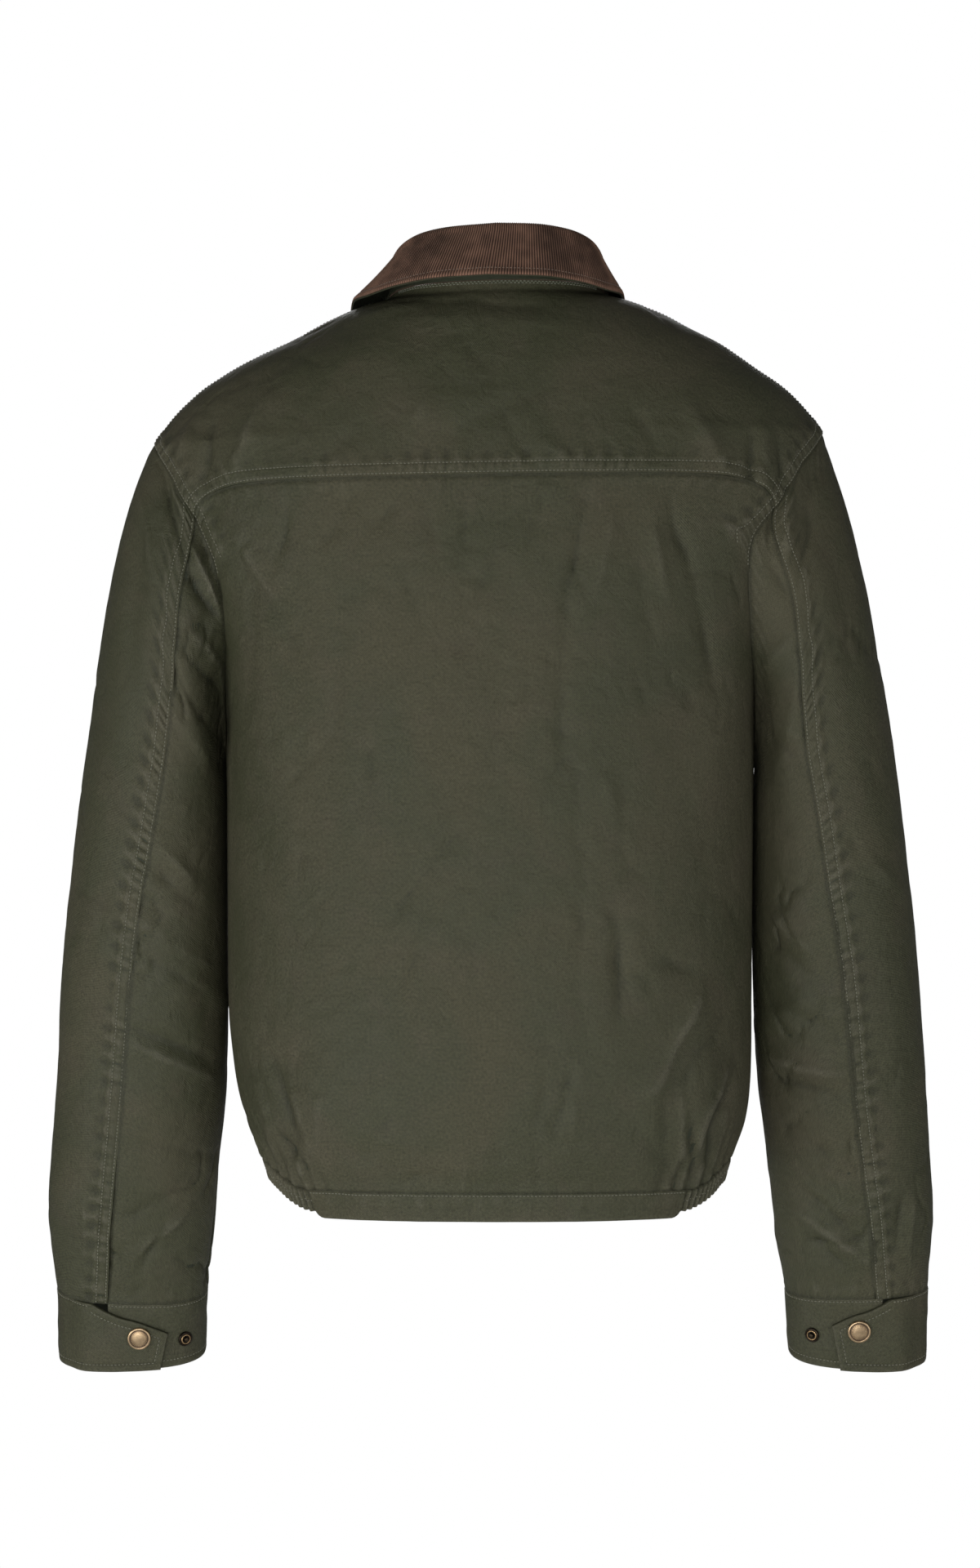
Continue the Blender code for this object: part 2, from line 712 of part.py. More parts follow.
def sleeve_panel(name, side, which):
    """One of a sleeve's two panels, as a grid of ways down it by turns round it."""
    turn = np.array([sleeve_turns(way, side)[which] for way in SLEEVE_WAYS])
    way = np.broadcast_to(np.array(SLEEVE_WAYS)[:, None], turn.shape)
    points, out = sleeve(turn, way, side), sleeve_normal(turn, way, side)
    points = drawn_back(points, "left", "right", "top", by=HALF_SLEEVE_SEAM)
    seam, thick, gap = armhole_seam(turn[0], side)
    out[0] = thick
    points[0] = seam + gap * HALF_SEAM
    wall(name, points, out, (0, -CLOTH), waxed_cloth(name))


def cuff_place(degrees, down, side):
    """Skin of the cuff by degrees round it and share down it. Past one full turn it rides over its own start."""
    turn = np.radians(degrees)
    way = CUFF_TOP + (CUFF_FOOT - CUFF_TOP) * down
    points, out = sleeve(turn, way, side), sleeve_normal(turn, way, side)
    low, high = TAB_RISE
    lift = TAB_LIFT * ease((degrees - low) / (high - low))
    return points + out * lift[..., None], out


def make_cuff(side):
    name = "cuff_" + SIDES[side]
    start, end = CUFF_START[side], TAB_END[side]
    share = np.linspace(0, 1, CUFF_ROWS + 1)[:, None]
    degrees = start + (end - TAB_CUT * share - start) * np.linspace(0, 1, CUFF_COLUMNS + 1)
    slant_from, slant_to = TAB_SLANT[side]
    top = slant_to * np.clip((degrees - slant_from) / (end - slant_from), 0, 1)
    points, out = cuff_place(degrees, top + (1 - top) * share, side)
    points = drawn_back(points, "bottom", by=HALF_HEM_SEAM)
    wall(name, points, out, (0, -CUFF_WALL), waxed_cloth(name))


def turned(name, profile, material):
    """A solid of revolution about its own Z axis from a profile of (radius, height)."""
    shape = bmesh.new()
    line = [shape.verts.new((radius * MM, 0, height * MM)) for radius, height in ((0, 0), *profile)]
    edges = [shape.edges.new(pair) for pair in zip(line, line[1:])]
    bmesh.ops.spin(shape, geom=line + edges, cent=(0, 0, 0), axis=(0, 0, 1), angle=2 * math.pi,
                   steps=SNAP_CORNERS, use_merge=True, use_duplicate=False)
    bmesh.ops.remove_doubles(shape, verts=shape.verts, dist=1e-6)
    mesh = bpy.data.meshes.new(name)
    shape.to_mesh(mesh)
    shape.free()
    return placed(mesh, name, material)


def stand_on(made, point, out, up):
    """Puts an object's origin at a point, with its Z axis outward and its Y axis up the cloth."""
    out = unit(out)
    across = unit(np.cross(up, out))
    axes = np.array((across, np.cross(out, across), out)).T
    made.matrix_world = Matrix.Translation((point * MM).tolist()) @ Matrix(axes.tolist()).to_4x4()


def make_snaps(side):
    kinds = (("cap", CAP_TURN, CAP_DOWN, CAP_PROFILE), ("stud", STUD_TURN, STUD_DOWN, STUD_PROFILE))
    for kind, turns, downs, profile in kinds:
        name = f"snap_{kind}_{SIDES[side]}"
        point, out = cuff_place(np.array(turns[side]), np.array(downs[side]), side)
        made = turned(name, profile, metal(name))
        stand_on(made, point + out * SNAP_LIFT, out, np.array((0.0, 0.0, 1.0)))


# ---- collar ----

def collar_grid():
    """Middle surface of the folded collar, by columns round the neck: stand, half round turn, leaf.

    Its foot takes the same places round the neck as the panels below it.
    """
    last = 180 - math.degrees(math.asin(FRONT_GAP / NECK_HALF))
    behind = np.linspace(0, 90, BACK_NECK_COLUMNS + 1)
    half = np.concatenate([behind, np.linspace(90, last, FRONT_NECK_COLUMNS + 1)[1:]])
    round_degrees = np.concatenate([-half[::-1], half[1:]])
    side, way = np.sign(round_degrees), np.abs(round_degrees) / last
    neck_x, neck_z = neck_place(np.abs(round_degrees))
    back, front = angle_at(neck_x, neck_z, True), angle_at(neck_x, neck_z, False)
    angle = side * np.where(np.abs(round_degrees) <= 90, back, front)
    angle = np.where(side == 0, math.pi, angle)
    foot = body(angle, neck_z) + body_normal(angle, neck_z) * COLLAR_LIFT
    side = np.where(side == 0, 1, side)
    top = joined(*(read(COLLAR, name, way) for name in ("fold_x", "fold_y", "fold_z")))
    tip = joined(*(read(COLLAR, name, way) for name in ("edge_x", "edge_y", "edge_z")))
    for line, lean in ((top, FOLD_LEAN), (tip, EDGE_LEAN)):
        line[:, 0] = side * line[:, 0] - lean
        line[:, 2] -= COLLAR_TIP * line[:, 0]
    outward = unit((tip + foot - 2 * top) * np.array((1, 1, 0)))
    inner, outer = top - outward * COLLAR_TURN, top + outward * COLLAR_TURN
    arc = [
        top - outward * COLLAR_TURN * math.cos(turn) + joined(0, 0, COLLAR_TURN * math.sin(turn))
        for turn in np.radians((45, 90, 135))
    ]
    stand = [foot + (inner - foot) * share for share in (0, 0.5, 1)]
    leaf = [outer + (tip - outer) * share for share in (0, 0.33, 0.67, 1)]
    return np.stack([*stand, *arc, *leaf])


def make_collar():
    grid = collar_grid()
    along = np.gradient(grid, axis=1)
    up = np.gradient(grid, axis=0)
    out = unit(np.cross(up, along))
    middle = grid.shape[1] // 2
    if out[-2, middle, 1] < 0:
        out = -out
    wall("collar_top", grid, out, TOP_LAYER, corduroy("collar_top"))
    wall("collar_under", grid, out, UNDER_LAYER, waxed_cloth("collar_under"))


# ---- zip ----

def zip_strip(name, from_x, to_x, columns, depths, material):
    """A flat strip behind the front edges, from the zip's foot to its top."""
    height = np.linspace(ZIP_FOOT, ZIP_TOP, ZIP_ROWS + 1)[:, None]
    x = np.linspace(from_x, to_x, columns + 1)[None, :]
    height, x = np.broadcast_arrays(height, x)
    points = plain_body(np.sign(x) * angle_at(np.abs(x), height, False), height)
    out = normal_of(plain_body, np.full(height.shape, 0.05), height, 1e-3, 1.0) * np.array((0, 1.0, 1.0))
    near, far = depths
    wall(name, points, unit(out), (-near, -far), material)


def centre_frame(height):
    """Point, outward and upward directions of the closed front at one height."""
    levels = np.array((height - 4.0, height, height + 4.0))
    low, here, high = plain_body(np.zeros(3), levels)
    up = unit(high - low)
    return here, unit(np.cross((1.0, 0, 0), up)), up


def block(name, low, high):
    """A box from its lowest to its highest corner."""
    mesh = bpy.data.meshes.new(name)
    shape = bmesh.new()
    corners = bmesh.ops.create_cube(shape, size=1)["verts"]
    size, centre = (np.array(high) - low) * MM, (np.array(high) + low) / 2 * MM
    bmesh.ops.scale(shape, vec=size, verts=corners)
    bmesh.ops.translate(shape, vec=centre, verts=corners)
    shape.to_mesh(mesh)
    shape.free()
    made = bpy.data.objects.new(name, mesh)
    bpy.context.scene.collection.objects.link(made)
    return made


def rod(name, radius, half_length, out):
    """A round bar along the piece's own X axis, at a distance outward."""
    mesh = bpy.data.meshes.new(name)
    shape = bmesh.new()
    bmesh.ops.create_cone(shape, cap_ends=True, segments=10, radius1=radius * MM, radius2=radius * MM,
                          depth=2 * half_length * MM, matrix=Matrix.Rotation(math.pi / 2, 4, "Y"))
    bmesh.ops.translate(shape, vec=(0, 0, out * MM), verts=shape.verts)
    shape.to_mesh(mesh)
    shape.free()
    made = bpy.data.objects.new(name, mesh)
    bpy.context.scene.collection.objects.link(made)
    return made


def fused(name, pieces, material):
    """The first piece with the others joined to it."""
    whole = pieces[0]
    whole.name = name
    whole.data.materials.append(material)
    for number, piece in enumerate(pieces[1:]):
        join = whole.modifiers.new(f"join_{number}", "BOOLEAN")
        join.operation = "UNION"
        join.object = piece
        piece.parent = whole
        piece.hide_render = True
        piece.display_type = "WIRE"
    return whole


def make_zip():
    for side, word in SIDES.items():
        ends = (0.3, TAPE_HALF) if side > 0 else (-TAPE_HALF, -0.3)
        zip_strip("zip_tape_" + word, *ends, 2, TAPE_DEPTHS, waxed_cloth("zip_tape_" + word))
    zip_strip("zip_chain", -CHAIN_HALF, CHAIN_HALF, 2, CHAIN_DEPTHS, metal("zip_chain"))

    wide, tall = ZIP_BOX
    foot, out, up = centre_frame(ZIP_FOOT - tall / 2 - 0.5)
    box = fused("zip_box", [block("zip_box", (-wide / 2, -tall / 2, -3.2), (wide / 2, tall / 2, -0.2))], metal("zip_box"))
    stand_on(box, foot, out, up)

    place, out, up = centre_frame(SLIDER_HEIGHT)
    slider = fused("zip_slider", [
        block("zip_slider", (-4.5, -8, -0.3), (4.5, 8.3, 1.2)),
        block("slider_neck", (-1.2, (ZIP_TOP - SLIDER_HEIGHT) / up[2] + 0.4, -6.0), (1.2, 8.1, 0.5)),
        block("slider_back", (-4.5, -7, -7.1), (4.5, 8.2, -5.9)),
        block("slider_bail_low", (-1, -3.2, 0.5), (1, -2.2, 4.2)),
        block("slider_bail_high", (-1, 2.2, 0.5), (1, 3.2, 4.2)),
        block("slider_bail_top", (-0.99, -3.19, 3.3), (0.99, 3.19, 4.19)),
    ], metal("zip_slider"))
    stand_on(slider, place, out, up)

    pull = fused("zip_pull", [
        rod("zip_pull", 0.7, 3.3, 0),
        block("pull_arm_left", (1.5, -6, -0.69), (3.2, 0.3, 0.69)),
        block("pull_arm_right", (-3.2, -6, -0.69), (-1.5, 0.3, 0.69)),
        block("pull_plate", (-3.5, -PULL_LENGTH, -0.7), (3.5, -5, 0.7)),
    ], metal("zip_pull"))
    stand_on(pull, place + out * HINGE_OUT, out, up)


def main():
    for leftover in list(bpy.data.objects):
        bpy.data.objects.remove(leftover)
    make_back()
    make_fronts()
    make_hem()
    for side, word in SIDES.items():
        sleeve_panel("sleeve_top_" + word, side, 0)
        sleeve_panel("sleeve_under_" + word, side, 1)
        make_cuff(side)
        make_snaps(side)
    make_collar()
    make_zip()


main()
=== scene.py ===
"""Looks of the waxed cotton jacket: creased cloth shells, seams, stitches, corduroy, zip and snaps.

Lengths are millimetres until a mesh is made, which turns them to metres. +Z is up, the front faces -Y and
+X is the wearer's left. Every cloth piece is a grid of two parameters on the form of the panel that it
stands for: one parameter runs round the wearer, the other up the panel. Creases, seam laps, stitch grooves
and puckers are added along the outward direction, and each shell is closed with an inner skin.
"""

import math

import bpy
import numpy as np
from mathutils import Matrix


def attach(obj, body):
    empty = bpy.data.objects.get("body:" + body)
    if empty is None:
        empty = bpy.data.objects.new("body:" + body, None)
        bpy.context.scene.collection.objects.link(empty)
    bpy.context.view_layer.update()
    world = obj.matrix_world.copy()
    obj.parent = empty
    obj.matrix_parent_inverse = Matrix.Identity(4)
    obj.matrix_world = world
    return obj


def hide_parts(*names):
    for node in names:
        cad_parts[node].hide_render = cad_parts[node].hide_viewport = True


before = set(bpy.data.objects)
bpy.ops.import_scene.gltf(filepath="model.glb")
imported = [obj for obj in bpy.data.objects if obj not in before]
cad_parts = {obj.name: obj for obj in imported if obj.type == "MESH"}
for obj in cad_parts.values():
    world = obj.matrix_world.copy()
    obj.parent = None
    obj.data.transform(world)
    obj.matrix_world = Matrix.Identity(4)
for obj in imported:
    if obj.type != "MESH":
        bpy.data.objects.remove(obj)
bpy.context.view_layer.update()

MM = 0.001
SIDES = {1: "left", -1: "right"}
JACKET = "jacket"

# ---- cloth: thickness, what is done to its skin, and how strongly its relief is painted paler where raised (painted highlight, standing also for rubbed wax) and darker where sunk or lapped (painted shade) ----
SHELL = 1.0
DOUBLE_SHELL = 2.2
TUCK = 3.0
TUCK_DROP = 0.55
GROOVE = 0.45
GROOVE_HALF = 0.85
FOLD_GAIN = 2.1
CRISP = 1.9
CREASE = 1.05
PUCKER = 7.0
BACK_CRUMPLE = 1.4
YOKE_CRUMPLE = 1.3
FRONT_CRUMPLE = 1.3
SLEEVE_CRUMPLE = (1.6, 2.4)
BUTTED_DIP = 0.3
BUTTED_HALF = 1.2
HEM_DIP = 0.5
HEM_DIP_HALF = 1.6
# painted light: the folds' share of the painted relief, the relief's range, and the painted shadow along
# lapped borders
FOLD_PAINTED_LIGHT = 0.25
PAINTED_LIGHT_RANGE = 0.5
LAPPED_PAINTED_SHADOW = 1.3
LAPPED_REACH = 2.2
SEAM_TURN = 16

# ---- where sleeve and body touch: how calm the cloth is, how far it is let out, and from which x ----
CALM = 0.8
CONTACT = 1.1
BODY_TOUCH = 168
SLEEVE_TOUCH = 206

# ---- stitches: length, thickness, and the rows' distances from the edge that they follow ----
STITCH = 2.7
THREAD = 0.38
THREAD_SIDES = 4
STITCH_LIFT = 0.12
ARMHOLE_ROWS = (1.4, 8.6)
YOKE_ROWS = (1.5, 8.6)
SLEEVE_ROWS = (1.4, 8.4)
ZIP_ROWS = (2.0, 9.0)
NECK_ROWS = (1.0, 2.3)
BAND_ROW = 1.8
CUFF_ROW = 5.6
COLLAR_ROW = 5.0
LAP = 9.5
ZIP_FACING = 11.0

# ---- body ----
HEM_SEAM_BACK = -632.5
HEM_SEAM_SIDE = -615.0
HEM_BAND = 20.5
ELASTIC_BAND = 16.5
SIDE_SEAM_ANGLE = math.radians(88.0)
FRONT_GAP = 6.0
YOKE_CENTRE = -131.0
UNDERARM_CENTRE = -318.0
FRONT_YOKE_LEVEL = -150.0
# rows rise towards the armhole with this power of the way from the centre, at the underarm and at the yoke
LEVEL_POWER = 4.0
YOKE_POWER = 7.0
HEM_RISE_FROM = 0.53
HEM_RISE_TO = 0.91

# ---- armhole ----
SHOULDER_TIP = -97.5
ARMHOLE_DROP = 222.0
YOKE_SHARE = 0.3375
ROWS_HIDDEN = 1.8

# ---- neck: share of a row's width that the neck seam takes at its top ----
NECK_HALF = 80.0
BACK_NECK_SHARE = 6 / 18
FRONT_NECK_SHARE = 5 / 11

# ---- elastic at the sides of the hem ----
ELASTIC_FROM = math.radians(50.0)
ELASTIC_TO = math.radians(130.0)
ELASTIC_WAVES = 34
ELASTIC_STEP = 0.9
ELASTIC_FULLER = 1.12
HEM_CORNER = 7.0

# ---- sleeve and cuff ----
CAP_BLEND = 0.12
CUFF_TOP = 1.0
CUFF_FOOT = 1.08
TAB_LIFT = 3.6
TAB_RISE = (398.0, 424.0)
TAB_SLANT = {1: (426.0, 0.44), -1: (430.0, 0.37)}
TAB_END = {1: 475.0, -1: 468.0}
TAB_CUT = 6.5
CUFF_START = {1: 78.0, -1: 76.0}

# ---- spacing of grid lines: beside a stitched seam, a plain edge, the band's foot, its top, a cuff's edges
# and the back's middle, and the even steps between them ----
BY_SEAM = (0, 0.5, 1.0, 1.6, 2.3, 3.1, 4.0, 5.0, 6.0, 7.0, 7.7, 8.4, 9.2, 10.2, 11.5, 13.0, 15.0)
BY_EDGE = (0, 0.5, 1.2, 2.4, 4.2)
BY_FOOT = (0, 0.3, 0.8, 1.5, 2.4, 3.4)
BY_BAND = BY_SEAM[:7]
BY_CUFF = BY_SEAM[:10]
BY_MIDDLE = (0, 1.5)
STEP = 2.9
FRONT_STEP = 3.3
CUFF_STEP = 2.0
FINE = np.linspace(0, 1, 321)


def table(names, *rows):
    """A short table's columns by name, in rising order of the first."""
    return dict(zip(names.split(), np.array(sorted(rows), float).T))


# Superellipse sections of the body, from hem to neck.
BODY = table(
    "height half_width back_depth front_depth squareness",
    (-652, 158, 118, 112, 2.5),
    (-640, 161, 120, 114, 2.5),
    (-628, 164.5, 123, 117, 2.5),
    (-615, 168.5, 129, 123, 2.5),
    (-606, 172, 132, 126, 2.5),
    (-589, 178.5, 137, 131, 2.5),
    (-571, 182.5, 140, 134, 2.5),
    (-553, 184.5, 142, 136, 2.5),
    (-510, 187, 144, 138, 2.5),
    (-420, 188, 145, 139, 2.5),
    (-330, 189, 144, 137, 2.5),
    (-260, 192, 141, 133, 2.5),
    (-220, 200, 138, 128, 2.45),
    (-190, 211, 135, 123, 2.4),
    (-160, 227, 131, 116, 2.3),
    (-131, 239, 127, 108, 2.2),
    (-101, 241.5, 120, 97, 2.15),
    (-92, 236.5, 118, 93, 2.1),
    (-78, 226, 114, 86, 2.1),
    (-64, 211.5, 109, 78, 2.1),
    (-50, 191.5, 104, 66, 2.1),
    (-36, 169, 98, 55, 2.1),
    (-22, 141, 91, 44, 2.1),
    (-8, 114, 81, 34, 2.1),
    (0, 92, 74, 27, 2.1),
    (3, 80, 70.5, 24, 2.1),
    (6, 77, 69, 21, 2.1),
    (12, 74, 67, 18, 2.1),
)

# Hem and neck stand a little towards the wearer's right, and the right shoulder is held a little higher.
STANCE = table(
    "height aside tip",
    (-655, -6, 0),
    (-640, -5.5, 0),
    (-600, -4, 0),
    (-553, -2, 0),
    (-500, 0, 0),
    (-330, 0, 0),
    (-160, 0.5, 3.4),
    (-121, 1.5, 4.2),
    (-98, 1.3, 4.4),
    (-71, 1.5, 4.5),
    (-57, 2.2, 4.6),
    (-43, 0.5, 4.6),
    (-29, -2.8, 4.6),
    (-8, -4.5, 4.6),
    (20, -6, 4.6),
)
STANCE_HALF = 240.0

# How far the armhole's seam lies behind and in front of the body's widest line, in degrees.
ARMHOLE = table(
    "share behind_left behind_right before",
    (0, 0, 0, 0),
    (0.125, 11.5, 12.5, 15),
    (0.25, 22.6, 25, 26),
    (0.33, 25.7, 30, 30),
    (0.4, 26, 34.5, 31),
    (0.5, 23, 29, 28),
    (0.6, 17, 21, 22),
    (0.75, 6, 8, 12),
    (1, -2, -2, -2),
)

# Height of the neck seam, by degrees round it from the centre back.
NECK = table(
    "round height",
    (0, 10),
    (45, 9.3),
    (60, 8),
    (80, 4.6),
    (90, 3),
    (100, 2),
    (110, -8),
    (135, -35),
    (158, -52),
    (180, -62),
)

# Left sleeve: outer and inner line seen from behind, and each section's depth, forward tilt and squareness.
SLEEVE = table(
    "way outer_x outer_z inner_x inner_z centre_y half_depth tilt squareness",
    (0, 242, -98, 189, -320, 0, 75, 0, 2.0),
    (0.06, 253, -126, 190.5, -328, -2, 76, 0, 2.1),
    (0.14, 267.5, -176, 190.8, -345, -4, 76, 0, 2.2),
    (0.25, 281.5, -245, 191, -372, -7, 75, 0, 2.3),
    (0.38, 293, -327, 191, -412, -9, 72, 1, 2.3),
    (0.50, 301.5, -400, 191, -455, -11, 68, 2, 2.3),
    (0.62, 309, -470, 191, -503, -15, 63, 5, 2.3),
    (0.74, 314.8, -545, 192.5, -565, -25, 57, 9, 2.3),
    (0.85, 320.2, -616, 198, -628, -40, 50, 13, 2.3),
    (0.92, 323, -660, 201.5, -668, -51, 45, 15, 2.3),
    (0.95, 321.5, -680, 203.5, -687, -56, 43, 15, 2.35),
    (1.0, 318.5, -715, 207.5, -718, -65, 38.5, 15, 2.5),
    (1.08, 318, -768, 209.5, -764, -77, 37.5, 15, 2.6),
)

# Turn of the sleeve's back seam round the section, in degrees from the outer line.
BACK_SEAM = table(
    "way left right",
    (0, 60.75, 60.75),
    (0.045, 77, 79),
    (0.1, 93, 97),
    (0.16, 97, 101),
    (0.24, 97, 101.5),
    (0.37, 93.5, 97),
    (0.48, 89.5, 93.5),
    (0.57, 87, 90.3),
    (0.82, 82.3, 85.7),
    (0.92, 80.5, 83.5),
    (1.0, 78, 81),
)

# The right forearm hangs a little wider of the body: growth of its outer and inner lines and of its tilt.
RIGHT_HANG = table(
    "way outer inner tilt",
    (0, 0, 0, 0),
    (0.04, -1.6, 0, 0),
    (0.2, -1.8, 0, 0),
    (0.5, 0, 0, 0),
    (0.75, 0.2, 3.6, 0),
    (0.92, 2.2, 7.6, -2),
    (1, 3.5, 9.5, -6),
    (1.08, 4.5, 10.5, 0),
)

# Collar, from centre back to front end: the fold's line and the leaf's outer edge.
COLLAR = table(
    "way fold_x fold_y fold_z edge_x edge_y edge_z",
    (0, 0, 64, 45, 0, 86, 12),
    (0.125, 28, 60, 44, 37, 82, 10.7),
    (0.25, 53, 47, 40.5, 67, 67, 7),
    (0.375, 66.5, 27, 34, 88, 42, 3),
    (0.5, 71, 3, 26, 96.5, 12, 3.2),
    (0.625, 67, -22, 15, 99.5, -24, -6),
    (0.75, 53, -47, 1, 98, -57, -40),
    (0.875, 34, -68, -18, 86, -87, -78),
    (1, 13, -83, -41, 62, -103, -100),
)
COLLAR_LIFT = 0.9
COLLAR_TURN = 4.5
FOLD_LEAN = 5.0
EDGE_LEAN = -1.5
COLLAR_TIP = 0.022
STAND_ROWS = 8
FOLD_ROWS = 11
WALE = 1.75
WALE_POINTS = 6
WALE_HEIGHT = 0.55
COLLAR_SKIN = 0.15

# Broad folds of the body, seen from behind: a line from one place to another, its half width and its rise.
BODY_FOLDS = (
    # from_x, from_z, to_x, to_z, half_width, rise
    (-148, -515, -146, -625, 15, 4.5),
    (-112, -560, -108, -632, 14, 1.6),
    (128, -575, 131, -628, 13, 3.2),
    (98, -560, 95, -632, 16, 1.5),
    (176, -235, 150, -330, 16, 2.5),
    (-176, -225, -152, -350, 16, 3.0),
    (-205, -118, -178, -150, 12, 3.0),
    (186, -118, 204, -165, 12, -2.5),
)

# Broad folds on each sleeve: turn in degrees and way, from one place to another, half widths, rise.
SLEEVE_FOLDS = (
    # side, from_turn, from_way, to_turn, to_way, turn_half, way_half, rise
    (1, 45, 0.05, 62, 0.20, 14, 0.05, -4.0),
    (1, 95, 0.07, 125, 0.16, 16, 0.05, 3.0),
    (1, 100, 0.58, 165, 0.62, 20, 0.022, 2.6),
    (1, 30, 0.88, 75, 0.92, 18, 0.020, 2.2),
    (-1, 50, 0.05, 60, 0.22, 14, 0.05, -3.0),
    (-1, 92, 0.08, 120, 0.18, 16, 0.05, 3.0),
    (-1, 100, 0.62, 165, 0.66, 20, 0.022, 2.4),
    (-1, 95, 0.89, 140, 0.91, 18, 0.020, 2.0),
    (1, -120, 0.56, -40, 0.60, 20, 0.022, 2.4),
    (-1, -125, 0.58, -45, 0.62, 20, 0.022, 2.4),
)
